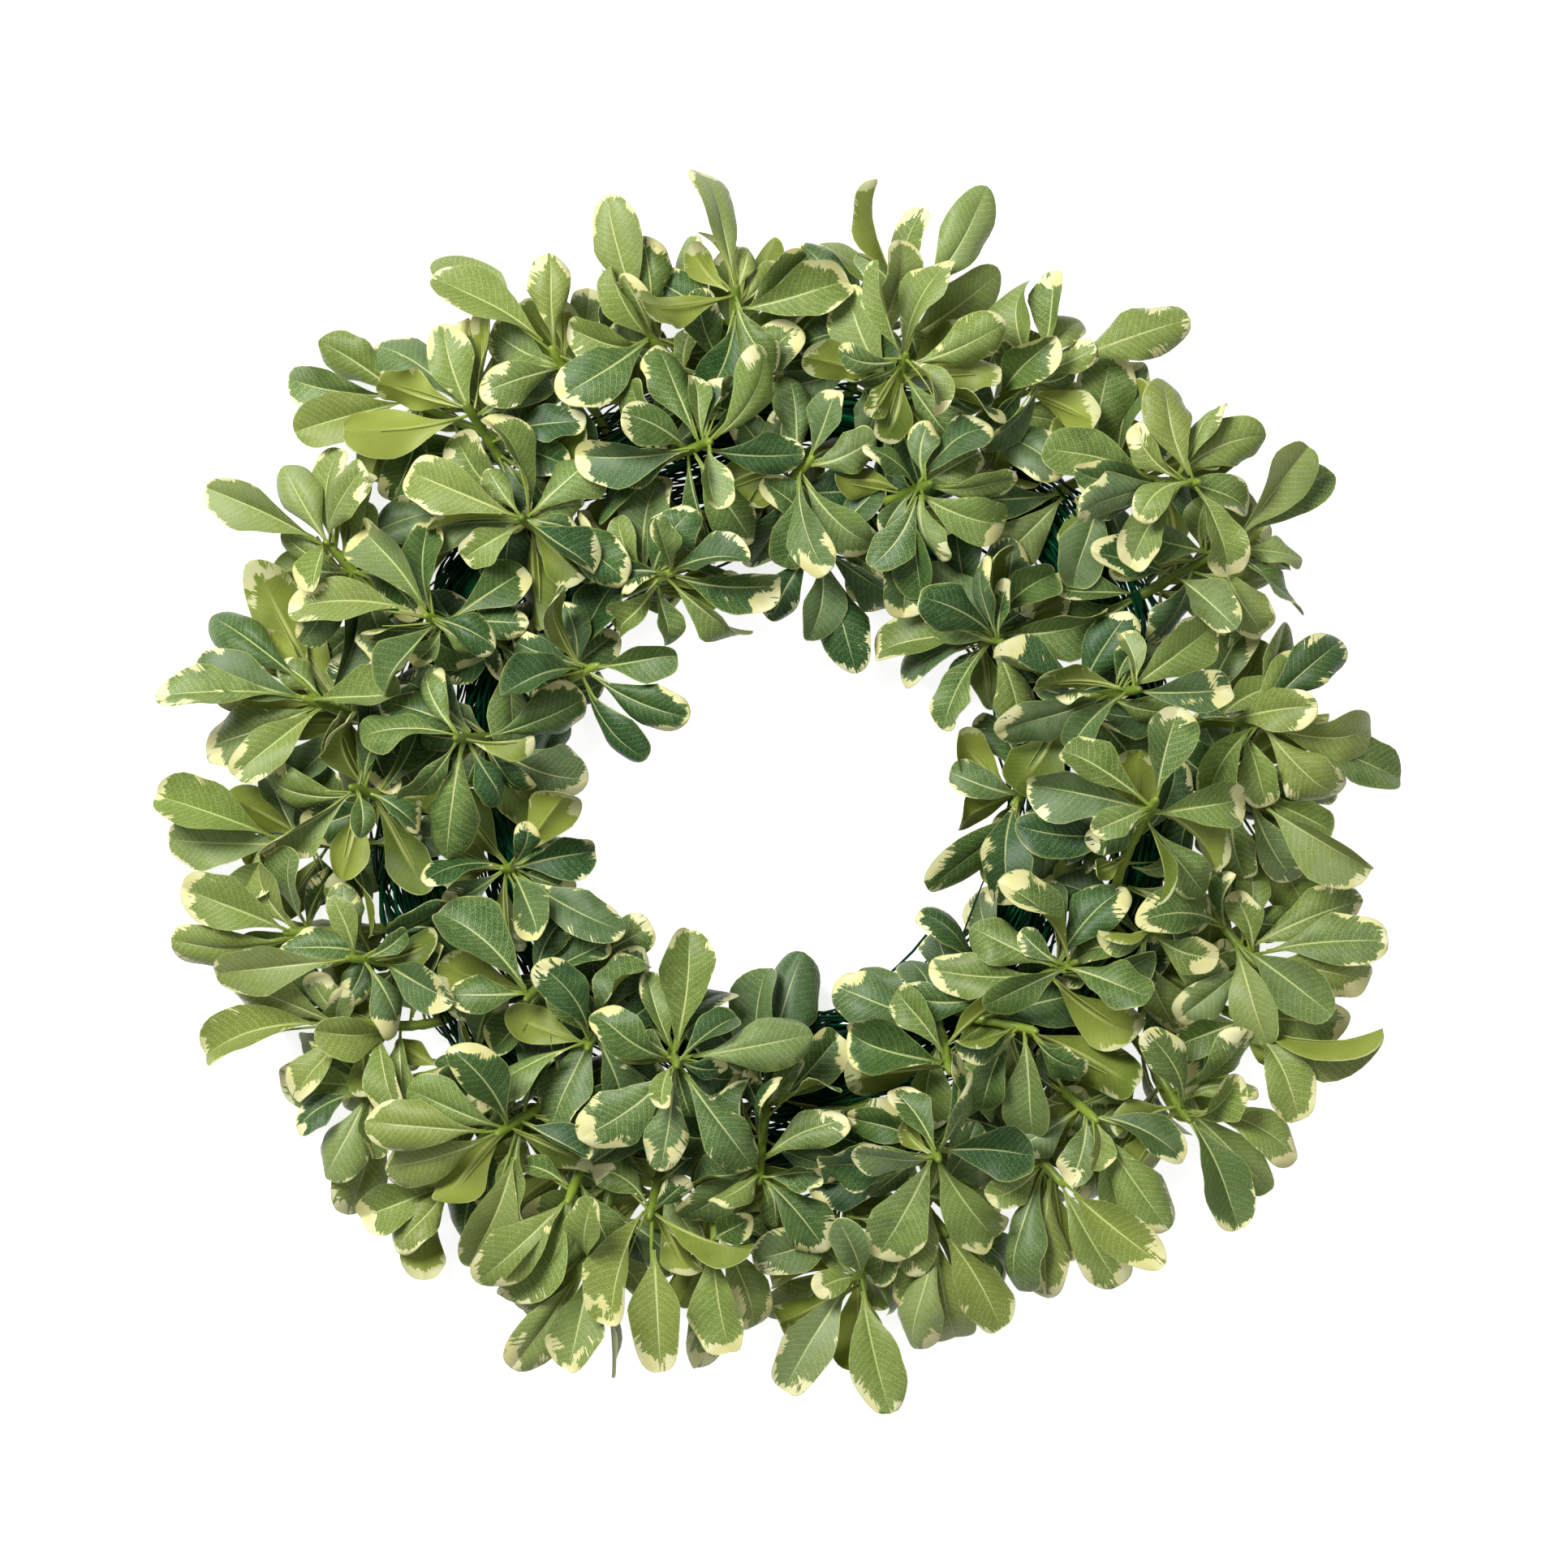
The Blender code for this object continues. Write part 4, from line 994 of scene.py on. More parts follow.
def fineLeaf(leaf, draw):
    # The leaf's two sheets of points, and what its materials read there
    rows = leafRows(leaf, draw.uniform(*leafCut["blunt"]), draw.uniform(*leafCut["taper"]))
    s, w = rows[:, :1], rows[:, 1:]
    t = leafColumns[None, :]
    half = leaf.width / 2 * draw.uniform(*leafCut["slim"])
    axes = [leaf.axes(float(share)) for share in rows[:, 0]]
    points, sides, faces = (np.array([axis[part] for axis in axes])[:, None, :] for part in range(3))
    turned = min(max(draw.gauss(0, leafCut["turn"]), -leafCut["mostTurn"]), leafCut["mostTurn"])
    outer = np.clip((s - leafCut["turnFrom"]) / (1 - leafCut["turnFrom"]), 0, 1)
    turn = radians(turned) * (outer ** leafCut["turnGrows"])[..., None]
    sides, faces = sides * np.cos(turn) + faces * np.sin(turn), faces * np.cos(turn) - sides * np.sin(turn)
    ways = [(draw.uniform(*leafCut["notches"]), draw.uniform(0, 2 * pi)) for _ in range(2)]
    notched = [w * (1 + leafCut["notch"] * np.sin(2 * pi * often * s + phase)) for often, phase in ways]
    wide = np.maximum(np.where(t < 0, *notched), leafCut["petioleHalf"] / half)
    wide[-1] = 0
    out = t * wide * half
    curl = draw.uniform(*draw.choice(leafCut["curls"]))
    length = np.clip((s - s[0]) / (1 - s[0]), 0, 1)
    foldAtBase, foldAtTip = leafCut["baseFold"]
    fold = leaf.fold * (foldAtBase + (foldAtTip - foldAtBase) * length)
    steep, less = leafCut["foldEases"]
    rise = np.abs(out) * np.sin(fold) * (steep - less * np.abs(t)) - curl * half * w * t * t
    rise = rise - leafCut["groove"] * (t == 0) * (1 - length)
    fullLength, most = leafCut["waveLength"]
    size = draw.uniform(*leafCut["wave"]) * min(leaf.length / fullLength, most)
    count = draw.uniform(*leafCut["waves"])
    phases = draw.uniform(0, 2 * pi), draw.uniform(0, 2 * pi)
    phase = np.where(t < 0, phases[0], phases[1])
    rise = rise + size * t * t * w * np.sin(2 * pi * count * s + phase)
    drop = draw.triangular(*leafCut["tipDrop"]) * min(leaf.length / leafCut["dropLength"], 1)
    rise = rise - drop * np.clip((s - leafCut["dropFrom"]) / (1 - leafCut["dropFrom"]), 0, 1) ** 2
    lean = draw.uniform(-leafCut["lean"], leafCut["lean"])
    uneven = draw.uniform(-leafCut["uneven"], leafCut["uneven"])
    shift = out * np.cos(fold) * (1 + uneven * np.sign(t)) + lean * np.sin(pi * s)
    thick = leafCut["thickness"] + (leafCut["marginThickness"] - leafCut["thickness"]) * t * t
    middle = points + sides * shift[..., None] + faces * rise[..., None]
    middle[..., 2] = np.maximum(middle[..., 2], leafCut["lowest"])
    sheets = []
    for hand in (1, -1):
        sheet = middle + faces * (hand * thick / 2)[..., None]
        sheets.append(np.concatenate([sheet[:-1].reshape(-1, 3), sheet[-1:, len(leafColumns) // 2]]))
    x = (s - s[0]) * leaf.length / mm + 0 * t
    y = out / mm
    share = (s - s[0]) / (1 - s[0]) + 0 * t
    dense = np.linspace(0, len(rows) - 1, leafCut["rimSteps"])
    rimX = np.interp(dense, range(len(rows)), x[:, 0])
    rim = []
    for column in (0, -1):
        rimY = np.interp(dense, range(len(rows)), np.abs(y[:, column]))
        rim.append(np.sqrt((x[..., None] - rimX) ** 2 + (np.abs(y)[..., None] - rimY) ** 2).min(axis=2))
    rim = np.where(t < 0, *rim)
    rim[:, 0] = rim[:, -1] = 0

    def flatten(values):
        return np.concatenate([values[:-1].ravel(), values[-1:, len(leafColumns) // 2]])

    place = np.stack([flatten(values) for values in (x, y, rim)], axis=1)
    return sheets, place, flatten(share), float(s[0, 0])


leafShades = {
    "tone": 0.68,
    "toneSpread": 0.33,
    # Leaves high up are fresher and low filler leaves deeper: partly their own tone, partly painted shade of
    # the leaves over them
    "highToneLessShade": -0.32,
    "outerTone": -0.58,
    "lowerToneAndShade": 0.3,
    "youngTone": -0.22,
    "paleFrom": 188 * mm,
    "paleOver": 90 * mm,
    "warm": (0.0, 0.75, 0.34),        # in the middle, what the outside adds, and its spread
    # how much painted sheen a leaf shows
    "paintedSheen": (-0.05, 0.26, 0.45),     # its mean, its spread and its most
    "creams": (0.04, 0.4, 0.65, 0.95, 1.25),
    "creamWeights": (22, 20, 21, 21, 16),
    "boldCream": 1.4,
    "deepCools": 0.8,                 # how much less warmth the deepest tone shows
    "marks": (0, 60),                 # of a leaf, which keep its patterns apart from the next leaf's
}

# Leaf tips that stand out in the photographed wreath by their broad cream margins
boldCreamTips = {(-242, 88), (-184, 156), (176, 124), (196, 40), (168, 76), (216, -84), (-98, -172),
                 (34, -164), (32, -190), (64, -242), (-186, -122), (-84, -78), (168, -246), (188, -234),
                 (222, 48), (-306, 44), (-14, 268), (114, 128), (-256, -28), (62, -280), (198, -122),
                 (280, 74), (-286, 60), (136, 256)}


def leafKind(leaf, draw):
    # Tone from fresh to deep, deeper low down partly as painted shade, the share of cream, a mark that keeps
    # patterns apart; then warmth and how much painted sheen it shows
    high = heightShare(leaf.tip)
    outward = min(max((leaf.tip.to_2d().length - leafShades["paleFrom"]) / leafShades["paleOver"], 0), 1)
    tone = leafShades["tone"] + leafShades["highToneLessShade"] * high + leafShades["outerTone"] * outward
    tone = draw.gauss(tone, leafShades["toneSpread"])
    cream = draw.choices(leafShades["creams"], leafShades["creamWeights"])[0]
    if not leaf.extra and (round(leaf.target[0] / mm), round(leaf.target[1] / mm)) in boldCreamTips:
        cream = leafShades["boldCream"]
    inside, outside, spread = leafShades["warm"]
    warm = draw.gauss(inside + outside * outward, spread)
    middle, spread, most = leafShades["paintedSheen"]
    paintedSheen = min(max(draw.gauss(middle, spread), 0), most)
    if leaf.extra:
        # low filler leaves deeper, partly as painted shade
        tone += leafShades["youngTone"] if leaf.extra == "young" else leafShades["lowerToneAndShade"]
    tone = min(max(tone, 0), 1)
    warm = min(warm * (1 - leafShades["deepCools"] * tone), 1) if warm > 0 else max(warm, -1)
    return (tone, cream, draw.uniform(*leafShades["marks"])), (warm, paintedSheen)


def addLeaf(shape, leaf, sprig):
    (top, back), place, share, first = leaf.fine
    kind, look = leafKind(leaf, leaf.draw)
    looks = np.column_stack([share, np.full((len(share), 2), look)])
    shape.add(np.concatenate([top, back]), leafFaces, leafSlotsOfFaces, np.concatenate([place, place]),
              kind, np.concatenate([looks, looks]))
    # The petiole, which runs on under the leaf as its rib
    radii, sides = leafCut["ribRadii"], leafCut["ribSides"]
    path = [sprig.stem.at(leaf.socket)]
    marks = [0.5 * first, first] + [first + mark * (1 - first) for mark in leafCut["ribMarks"]]
    for mark, radius in zip(marks, radii[1:]):
        point, _, face = leaf.axes(mark)
        path.append(point - face * radius * leafCut["ribSunk"][mark > first])
    rings, faces = tubeParts(path, radii, sides, flat=leaf.face)
    tints = [(tint, 0, 0) for tint in leafCut["ribTints"] for _ in range(sides)] + [(0, 0, 0), (1, 0, 0)]
    shape.add(rings, faces, (2, 2), None, kind, np.array(tints))


def addStem(shape, sprig):
    stem = sprig.stem
    rings = stemForm["rings"]
    knots = [leaf.socket for leaf in sprig.leaves]
    path = [stem.foot - stem.normal * stemForm["sunkInStrands"]]
    radii = [stemForm["drawnFoot"] * stemForm["sunkSwell"]]
    for step in range(rings + 1):
        s = step / rings
        swell = sum(exp(-((s - knot) * stem.length() / stemForm["knuckleLength"]) ** 2) for knot in knots)
        radius = stemForm["drawnFoot"] + (stemForm["drawnTip"] - stemForm["drawnFoot"]) * s
        path.append(stem.at(s))
        radii.append(radius + stemForm["knuckle"] * min(swell, 1))
    top = path[-1]
    end = (top - path[-2]).normalized()
    for beyond, share in stemForm["cap"]:
        path.append(top + end * beyond)
        radii.append(stemForm["drawnTip"] * share)
    points, faces = tubeParts(path, radii, stemForm["sides"])
    shape.add(points, faces, (2, 2))


# Leaves that fill in where the floor would show through the ring

fill = {
    "band": (110 * mm, 264 * mm),
    "stemStep": 4 * mm,
    "reach": (15 * mm, 41 * mm),      # from the stem to the place that needs a leaf
    "bestReach": 32 * mm,
    "topStem": 0.94,
    "usedCost": 8 * mm,               # as much as this much more reach
    "length": (28 * mm, 62 * mm),
    "stemsTried": 8,
    # each pass: its cells, the most leaves, their clearance, and how much of the leaves and stems seen
    # so far each may hide
    "passes": ((4 * mm, 400, 0.3 * mm, 0.25, 1), (3.2 * mm, 140, -1.2 * mm, 0.4, 2)),
    "highest": 88 * mm,
    "coverRows": (0.35, 0.5, 0.64, 0.8, 0.95),
    "coverColumns": (-0.6, 0, 0.6),
    "clearFrom": 0.2,
    "leaning": 0.22,                  # the share that leans over, and how far
    "lean": (40, 68),
    "level": (-22, 22),
    "turnedOver": 0.2,
    "pitches": (0, -9, 9, -18, 18, -27, 27, 36),
    "swings": (0, 8, -8),
    "rolls": (0, 28, -28),
    "lowest": 3 * mm,
    "holeX": (-41 * mm, 66 * mm),
    "holeY": (-66 * mm, 51 * mm),
    "stemRadius": 2.4 * mm,
    "seenStem": (0.15, 2.6 * mm),     # from this share up, and its radius
    "stemSteps": 6,
    "stemSides": 5,
    "above": 0.2,
    "mostPieces": 1600,
}

# Places where the photographed wreath shows its bare strands
openPlaces = [(-86, 181), (-18, 173), (30, 188), (-46, 159), (-72, 123), (-95, 89), (136, 142),
              (-170, -122), (125, -78), (76, -124), (2, -167), (40, -146), (153, -109), (-148, 46),
              (176, -34), (178, 93), (-158, 104), (-140, -20), (-131, -82), (-189, -53)]
openRadius = 11 * mm
openTree = KDTree(len(openPlaces))
for number, (x, y) in enumerate(openPlaces):
    openTree.insert((x * mm, y * mm, 0), number)
openTree.balance()


def coarseLeaf(leaf, grow, start):
    widest = 1 + 2 * grow / leaf.width
    shoulder = leafRule["shoulderWidth"] * widest
    marks = [(start, 0), (leafRule["widestAt"], -widest), (leafRule["widestAt"], widest),
             (leafRule["shoulderAt"], -shoulder), (leafRule["shoulderAt"], shoulder), (1, 0),
             (leafRule["widestAt"], 0)]
    half = leafCut["thickness"] / 2 + grow
    points = [leaf.at(s, t, lift) for lift in (half, -half) for s, t in marks]
    sheet = [(0, 1, 6), (0, 6, 2), (1, 3, 6), (6, 4, 2), (6, 3, 5), (6, 5, 4)]
    return points, sheet + [tuple(corner + len(marks) for corner in face) for face in sheet]


class Crowd:
    # What stands already, as trees of triangles with the boxes round them

    def __init__(self):
        self.trees = []
        self.low, self.high = np.zeros((2, fill["mostPieces"], 3))

    def add(self, points, faces):
        corners = np.array(points)
        self.low[len(self.trees)], self.high[len(self.trees)] = corners.min(axis=0), corners.max(axis=0)
        self.trees.append(BVHTree.FromPolygons(points, faces))

    def meets(self, points, faces):
        corners = np.array(points)
        beside = (self.low > corners.max(axis=0)) | (self.high < corners.min(axis=0))
        near = np.flatnonzero(~beside[:len(self.trees)].any(axis=1))
        if not len(near):
            return False
        tree = BVHTree.FromPolygons(points, faces)
        return any(tree.overlap(self.trees[index]) for index in near)


def topSheets(leaves):
    points, faces = [], []
    for leaf in leaves:
        first = len(points)
        points += leaf.fine[0][0].tolist()
        for group in leafFaces[:2]:
            faces += (group + first).tolist()
    return points, faces


def standsClear(leaf, crowd, mark):
    # Its fine form, drawn again while it would cut through what stands already
    for attempt in range(leafCut["forms"]):
        leaf.draw = Random(mark * 10 + attempt)
        leaf.fine = fineLeaf(leaf, leaf.draw)
        if not crowd.meets(*topSheets([leaf])):
            return True
    return False


def stemTube(sprig, start, radius):
    steps = fill["stemSteps"]
    path = [sprig.stem.at(start + (1 - start) * step / steps) for step in range(steps + 1)]
    return tubeParts(path, [radius] * len(path), fill["stemSides"])


def allLeaves():
    return [leaf for sprig in grown for leaf in sprig.leaves]


def makeCrowd():
    crowd = Crowd()
    for sprig in grown:
        points, (quads, fans) = stemTube(sprig, 0, fill["stemRadius"])
        crowd.add(points, quads.tolist() + fans.tolist())
    for name in ("wire_frame", "strand_wrap_inner", "strand_wrap_outer"):
        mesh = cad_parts[name].data
        crowd.add([vertex.co - hoopCentre for vertex in mesh.vertices],
                  [tuple(face.vertices) for face in mesh.polygons])
    clear = 0
    for sprig in grown:
        for order, leaf in enumerate(sprig.leaves):
            clear += standsClear(leaf, crowd, seed * 7000 + sprig.number * 100 + order)
            crowd.add(*topSheets([leaf]))
    print("packed leaves that stand clear of the others:", clear)
    return crowd


def bareCells(leaves, cells):
    # The cells that no leaf covers, seen from above
    canopy = BVHTree.FromPolygons(*topSheets(leaves))
    return [(x, y) for x, y in cells if canopy.ray_cast(Vector((x, y, fill["above"])), down)[0] is None]


def gridCells(band, size):
    # The places of a square grid between two distances from the middle
    inside, outside = band
    count = int(outside / size)
    steps = [step * size for step in range(-count, count + 1)]
    return [(x, y) for x in steps for y in steps if inside < sqrt(x * x + y * y) < outside]


def ringCells(size):
    cells = gridCells(fill["band"], size)
    for a, b in openPlaces:
        cells = [(x, y) for x, y in cells if sqrt((x - a * mm) ** 2 + (y - b * mm) ** 2) > openRadius]
    return cells


def inReach(points):
    for point in points:
        if not fill["lowest"] < point.z < fill["highest"]:
            return False
        if fill["holeX"][0] < point.x < fill["holeX"][1] and fill["holeY"][0] < point.y < fill["holeY"][1]:
            return False
    return True


def hidesTooMuch(leaf, canopy, stems, most, mostStem):
    # Whether it would lie over an open place, or over too much of the leaves and stems that are seen
    marks = [leaf.at(s, t) for s in fill["coverRows"] for t in fill["coverColumns"]]
    if any(openTree.find((mark.x, mark.y, 0))[2] < openRadius for mark in marks):
        return True
    if sum(stems.ray_cast(mark, down)[0] is not None for mark in marks) > mostStem:
        return True
    return sum(canopy.ray_cast(mark, down)[0] is not None for mark in marks) > most * len(marks)


def tryLeaf(slot, cell, crowd, sights, clearance, mostHidden, draw):
    # A leaf from this place on a stem whose widest part lies over the cell, if one can stand clear
    place, way, share, sprig = slot
    out = Vector((cell[0] - place.x, cell[1] - place.y, 0))
    reach = min(max(out.length / leafRule["widestAt"], fill["length"][0]), fill["length"][1])
    out.normalize()
    root = place - out * leafRule["rootSunk"]
    narrow, wide = leafRule["width"]
    width = min(max(reach * draw.uniform(*leafRule["slender"]), narrow), wide)
    if draw.random() < fill["leaning"]:
        lean = draw.choice([-1, 1]) * draw.uniform(*fill["lean"])
    else:
        lean = draw.uniform(*fill["level"])
    form = (radians(lean), draw.uniform(*leafRule["bow"]),
            radians(draw.uniform(-leafRule["twistSpread"], leafRule["twistSpread"])),
            radians(draw.uniform(*leafRule["fold"])), width)
    back = pi if draw.random() < fill["turnedOver"] else 0
    for pitch in fill["pitches"]:
        for swing in fill["swings"]:
            for roll in fill["rolls"]:
                tip = Quaternion(up, radians(swing)) @ out * reach * cos(radians(pitch))
                tip += root + up * reach * sin(radians(pitch))
                leaf = Leaf(root, tip, form[0] + back + radians(roll), *form[1:])
                points, faces = coarseLeaf(leaf, clearance, fill["clearFrom"])
                if not inReach(points) or hidesTooMuch(leaf, *sights, *mostHidden):
                    continue
                if not crowd.meets(points, faces):
                    leaf.socket, leaf.extra = share, "low"
                    return leaf
    return None


def stemTree():
    points, faces = [], []
    for sprig in grown:
        first = len(points)
        more, (quads, _) = stemTube(sprig, *fill["seenStem"])
        points += more
        faces += (quads + first).tolist()
    return BVHTree.FromPolygons(points, faces)


def fillRing(crowd):
    draw = Random(seed + 9)
    slots = []
    for sprig in grown:
        for step in range(1, int(sprig.stem.length() * fill["topStem"] / fill["stemStep"])):
            slots.append((*sprig.stem.back(step * fill["stemStep"]), sprig))
    where = np.array([(slot[0].x, slot[0].y) for slot in slots])
    used = np.zeros(len(slots))
    total = 0
    sights = (BVHTree.FromPolygons(*topSheets(allLeaves())), stemTree())
    for cellSize, most, clearance, *mostHidden in fill["passes"]:
        bare = bareCells(allLeaves(), ringCells(cellSize))
        print("bare cells before filling:", len(bare))
        draw.shuffle(bare)
        added = 0
        while bare and added < most:
            cell = bare.pop()
            reach = np.hypot(where[:, 0] - cell[0], where[:, 1] - cell[1])
            cost = np.abs(reach - fill["bestReach"]) + used
            cost[(reach < fill["reach"][0]) | (reach > fill["reach"][1])] = 1
            for index in np.argsort(cost)[:fill["stemsTried"]]:
                if cost[index] >= 1:
                    break
                leaf = tryLeaf(slots[index], cell, crowd, sights, clearance, mostHidden, draw)
                if leaf is None or not standsClear(leaf, crowd, seed * 9000 + total):
                    continue
                slots[index][3].leaves.append(leaf)
                crowd.add(*topSheets([leaf]))
                used[max(index - 1, 0):index + 2] += fill["usedCost"]
                bare = bareCells([leaf], bare)
                added += 1
                total += 1
                break
        print("leaves added:", added, "cells still bare:", len(bare))


# Young leaves that stand up round each crown

young = {
    "each": (0, 1),
    "length": (28 * mm, 46 * mm),
    "pitch": (16, 55),
    "below": (0.5 * mm, 7 * mm),
    "tries": 26,
    "clearance": 0.3 * mm,
    "clearFrom": 0.3,
    "highest": 89 * mm,
    "furthest": 302 * mm,
    "slender": (0.44, 0.56),
    "leastWidth": 10 * mm,
    "roll": (-50, 50),
    "bow": (0.12, 0.3),
    "twist": (-30, 30),
}


def youngLeaf(sprig, draw):
    place, _, share = sprig.stem.back(draw.uniform(*young["below"]))
    bearing, pitch = draw.uniform(0, 2 * pi), radians(draw.uniform(*young["pitch"]))
    reach = draw.uniform(*young["length"])
    out = Vector((cos(bearing), sin(bearing), 0))
    root = place - out * leafRule["rootSunk"]
    tip = root + out * reach * cos(pitch) + up * reach * sin(pitch)
    leaf = Leaf(root, tip, radians(draw.uniform(*young["roll"])), draw.uniform(*young["bow"]),
                radians(draw.uniform(*young["twist"])), radians(draw.uniform(*leafRule["fold"])),
                max(reach * draw.uniform(*young["slender"]), young["leastWidth"]))
    leaf.socket, leaf.extra = share, "young"
    return leaf


def addYoungLeaves(crowd):
    added = 0
    for sprig in grown:
        draw = Random(seed * 400 + sprig.number)
        wanted = draw.randint(*young["each"])
        for _ in range(young["tries"]):
            if not wanted:
                break
            leaf = youngLeaf(sprig, draw)
            points, faces = coarseLeaf(leaf, young["clearance"], young["clearFrom"])
            if leaf.tip.z > young["highest"] or leaf.tip.to_2d().length > young["furthest"]:
                continue
            if not inReach(points) or crowd.meets(points, faces):
                continue
            if not standsClear(leaf, crowd, seed * 11000 + added):
                continue
            sprig.leaves.append(leaf)
            crowd.add(*topSheets([leaf]))
            added += 1
            wanted -= 1
    print("young leaves added:", added)


crowd = makeCrowd()
addYoungLeaves(crowd)
fillRing(crowd)

leafTop, leafBack, stemPlastic = makeLeafTop(), makeLeafBack(), makeStemPlastic()
print("leaf and stem materials made")

for sprig in grown:
    shape = Shape()
    addStem(shape, sprig)
    for leaf in sprig.leaves:
        addLeaf(shape, leaf, sprig)
    piece = shape.make(f"leafy_sprig_{sprig.number:02d}", (leafTop, leafBack, stemPlastic))
    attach(piece, "root")
    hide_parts(sprig.node)
print("sprigs made:", len(grown), "leaves:", sum(len(sprig.leaves) for sprig in grown))


# Strand wraps

wrapForm = {
    "layers": ((46, 0.5 * mm), (16, 3.2 * mm)),       # how many strands, and how deep they lie
    "rings": 90,
    "sides": 5,
    "radius": 0.85 * mm,
    "halfWidth": 10.2 * mm,
    "middle": 12.2 * mm,
    "halfHeight": 8.4 * mm,
    "drift": 0.35,
    "drifts": 4,
    "sinks": (0.5, 3, 5),             # by which share, how often round the ring, and how far apart
}
# Short strands that have come off the rings
strays = {
    "count": 70,
    "length": (25 * mm, 60 * mm),
    "side": (-13 * mm, 13 * mm),
    "rise": (-6 * mm, 7 * mm),
    "flare": (-14 * mm, 14 * mm),
    "height": 16 * mm,
    "bend": 2.2,
    "steps": 9,
    "sides": 5,
    "radius": 0.55 * mm,
}
# Strands that run across the places where no leaf hides the floor
looseStrands = {
    "count": 480,
    "band": (114 * mm, 208 * mm),
    "cell": 3 * mm,
    "aside": (-2 * mm, 2 * mm),
    "sweep": (22 * mm, 52 * mm),
    "slope": (-0.32, 0.32),
    "sink": (0.1, 0.6),
    "mostSink": 1.6,
    "height": (7 * mm, 22 * mm),
    "sag": 0.225,
    "shift": (-0.4, 0.4),
    "steps": 9,
    "sides": 4,
    "radius": (0.45 * mm, 0.8 * mm),
}
strandMarks = (0, 90)


def onRing(reach, bearing, height):
    return Vector((reach * cos(bearing), reach * sin(bearing), height))


def strandPath(radius, draw, turn, depth):
    drifts = []
    for wave in range(wrapForm["drifts"]):
        drifts.append((draw.uniform(-1, 1) * wrapForm["drift"] / (wave + 1), draw.uniform(0, 2 * pi)))
    share, often, apart = wrapForm["sinks"]
    path = []
    for ring in range(wrapForm["rings"]):
        bearing = 2 * pi * ring / wrapForm["rings"]
        swing = sum(size * sin((wave + 2) * bearing + phase) for wave, (size, phase) in enumerate(drifts))
        at = turn + swing
        sink = depth * (1 + share * sin(often * bearing + turn * apart))
        reach = radius + (wrapForm["halfWidth"] - sink) * cos(at)
        path.append(onRing(reach, bearing, wrapForm["middle"] + (wrapForm["halfHeight"] - sink) * sin(at)))
    return path


def addStrays(shape, radius, draw):
    steps = strays["steps"]
    for _ in range(strays["count"]):
        start, sweep = draw.uniform(0, 2 * pi), draw.uniform(*strays["length"]) / radius
        side, rise, flare = (draw.uniform(*strays[name]) for name in ("side", "rise", "flare"))
        path = []
        for step in range(steps):
            part = step / (steps - 1)
            height = strays["height"] + rise * sin(strays["bend"] * part)
            path.append(onRing(radius + side + flare * part * part, start + sweep * part, height))
        points, faces = tubeParts(path, [strays["radius"]] * steps, strays["sides"], False, up)
        shape.add(points, faces, (0, 0), None, (0, 0, draw.uniform(*strandMarks)))


def addLooseStrands(shape, radius, cells, draw):
    # Each runs along its ring through its cell, and bends back in at both ends
    steps = looseStrands["steps"]
    cells = draw.sample(cells, len(cells))
    for number in range(looseStrands["count"] if cells else 0):
        x, y = cells[number % len(cells)]
        reach, middle = sqrt(x * x + y * y) + draw.uniform(*looseStrands["aside"]), atan2(y, x)
        half = draw.uniform(*looseStrands["sweep"]) / reach
        slope, sink, high, shift = (draw.uniform(*looseStrands[name])
                                    for name in ("slope", "sink", "height", "shift"))
        path = []
        for step in range(steps):
            part = 2 * step / (steps - 1) - 1 + shift
            inward = (radius - reach) * min(part * part, looseStrands["mostSink"]) * sink
            out = reach + slope * half * reach * part + inward
            path.append(onRing(out, middle + half * part, high * (1 - looseStrands["sag"] * part * part)))
        size = draw.uniform(*looseStrands["radius"])
        points, faces = tubeParts(path, [size] * steps, looseStrands["sides"], False, up)
        shape.add(points, faces, (0, 0), None, (0, 0, draw.uniform(*strandMarks)))


def makeWrap(name, node, radius, material, draw, cells):
    shape = Shape()
    sides = wrapForm["sides"]
    for count, depth in wrapForm["layers"]:
        for strand in range(count):
            path = strandPath(radius, draw, 2 * pi * strand / count, depth)
            points, faces = tubeParts(path, [wrapForm["radius"]] * len(path), sides, True, up)
            place = [(2 * pi * radius / mm * ring / len(path), 0, 0) for ring in range(len(path))
                     for _ in range(sides)]
            shape.add(points, faces, (0,), place, (0, 0, draw.uniform(*strandMarks)))
    addStrays(shape, radius, draw)
    addLooseStrands(shape, radius, cells, draw)
    piece = shape.make(name, (material,))
    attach(piece, "root")
    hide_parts(node)


strandPlastic = makeStrandPlastic()
between = (hoops["innerRadius"] + hoops["outerRadius"]) / 2
bare = bareCells(allLeaves(), gridCells(looseStrands["band"], looseStrands["cell"]))
near = {"inner": [], "outer": []}
for x, y in bare:
    near["inner" if sqrt(x * x + y * y) < between else "outer"].append((x, y))
for ring, mark in (("inner", 5), ("outer", 6)):
    makeWrap(f"strands_{ring}", f"strand_wrap_{ring}", hoopRadius(ring), strandPlastic, Random(seed + mark),
             near[ring])
print("strand wraps made; bare cells with loose strands:", len(near["inner"]), len(near["outer"]))


# Wire frame

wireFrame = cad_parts["wire_frame"]
wireFrame.data.materials.clear()
wireFrame.data.materials.append(makeWirePaint())


# Stage

stage = {
    "floorSize": 16.0,
    "floorBelow": 0.5 * mm,
    "wallHeight": 9.0,
    "photoWidth": 0.7728,             # metres across the picture at the middle of the wreath's depth
    "photoCentre": (2.4 * mm, 1.6 * mm),
    "wreathMiddle": 45 * mm,
    "cameraHeight": 3.2,
    "sensor": 36,
    "worldStrength": 0.22,
    "floorGrey": 0.93,
    "floorRoughness": 0.9,
    "floorGlow": 0.8,
}
# Each light: its place, its size and its power
lights = {
    "key": ((-0.9, 1.0, 1.7), 0.9, 50),
    "fill": ((1.2, -0.6, 1.9), 1.4, 6),
}
white = (1, 1, 1, 1)


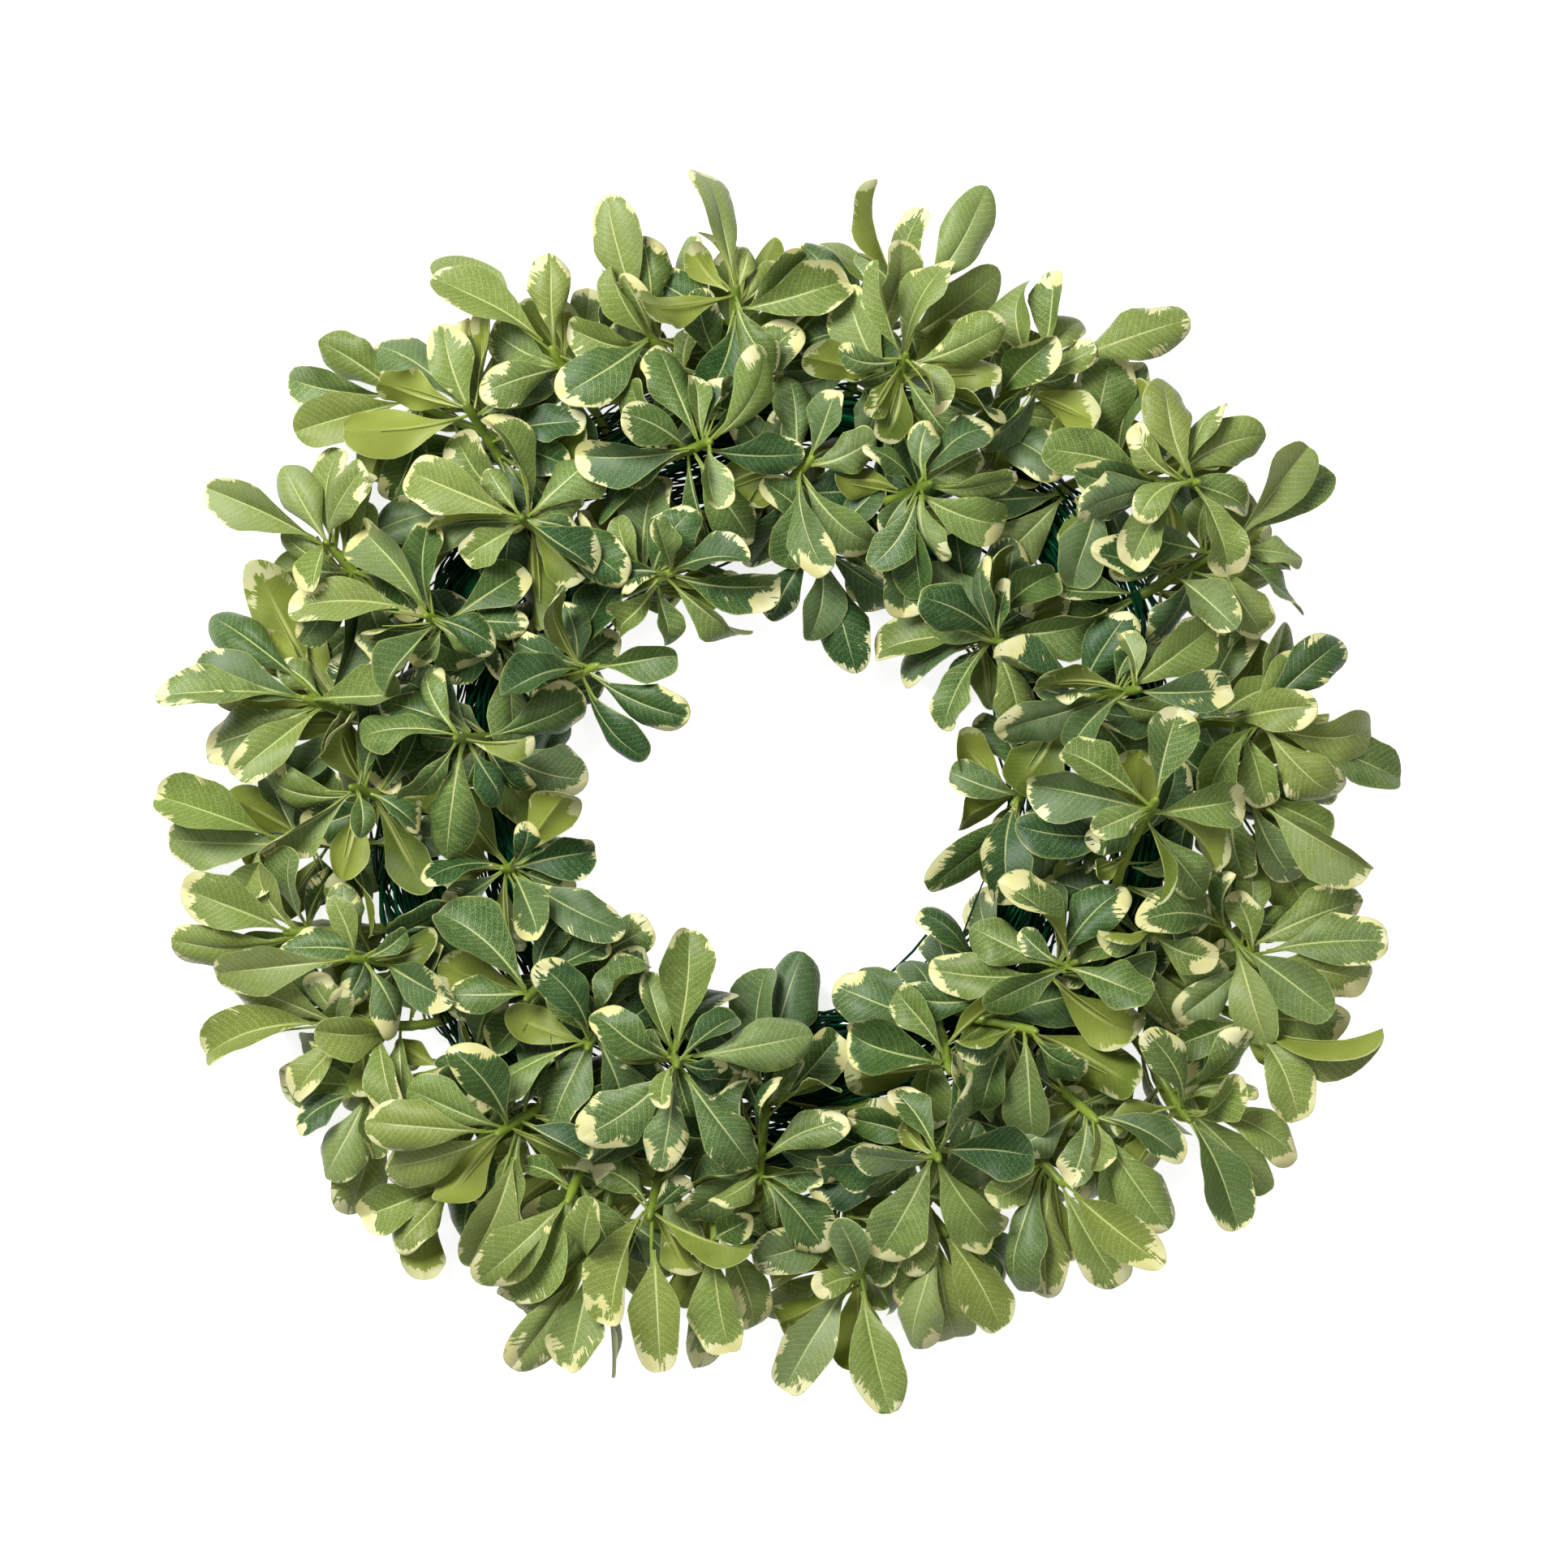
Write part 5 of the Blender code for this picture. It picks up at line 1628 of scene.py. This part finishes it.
def makeFloor():
    paint = Paint("paleFloor")
    grey = stage["floorGrey"]
    paint.surface((grey, grey, grey, 1), stage["floorRoughness"])
    paint.shader.inputs["Emission Color"].default_value = white
    paint.shader.inputs["Emission Strength"].default_value = stage["floorGlow"]
    half = stage["floorSize"] / 2
    corners = [(x, y, z) for z in (-stage["floorBelow"], stage["wallHeight"])
               for x, y in ((-half, -half), (half, -half), (half, half), (-half, half))]
    walls = [(corner, (corner + 1) % 4, (corner + 1) % 4 + 4, corner + 4) for corner in range(4)]
    for name, faces in (("floor", [(0, 1, 2, 3)]), ("walls", walls)):
        mesh = bpy.data.meshes.new(name)
        mesh.from_pydata(corners, [], faces)
        mesh.materials.append(paint.material)
        made = bpy.data.objects.new(name, mesh)
        made.visible_diffuse = False  # its glow doesn't light the leaves
        made.visible_glossy = name == "floor"
        made.visible_shadow = name == "floor"
        bpy.context.scene.collection.objects.link(made)


def addLight(name, place, size, power):
    light = bpy.data.lights.new(name, "AREA")
    light.shape = "SQUARE"
    light.size = size
    light.energy = power
    lamp = bpy.data.objects.new(name, light)
    lamp.location = place
    lamp.rotation_mode = "QUATERNION"
    lamp.rotation_quaternion = (-Vector(place)).to_track_quat("-Z", "Y")
    lamp.visible_camera = False
    bpy.context.scene.collection.objects.link(lamp)


def makeStage():
    makeFloor()
    world = bpy.data.worlds.new("softbox")
    world.use_nodes = True
    background = world.node_tree.nodes["Background"]
    background.inputs["Color"].default_value = white
    background.inputs["Strength"].default_value = stage["worldStrength"]
    bpy.context.scene.world = world
    for name, (place, size, power) in lights.items():
        addLight(name, place, size, power)
    camera = bpy.data.cameras.new("camera")
    reach = stage["cameraHeight"] - stage["wreathMiddle"]
    camera.sensor_width = stage["sensor"]
    camera.lens = stage["sensor"] * reach / stage["photoWidth"]
    holder = bpy.data.objects.new("camera", camera)
    aside, above = stage["photoCentre"]
    holder.location = (hoopCentre.x + aside, hoopCentre.y + above, stage["cameraHeight"])
    bpy.context.scene.collection.objects.link(holder)
    bpy.context.scene.camera = holder
    bpy.context.scene.view_settings.view_transform = "Standard"


makeStage()
print("stage made")
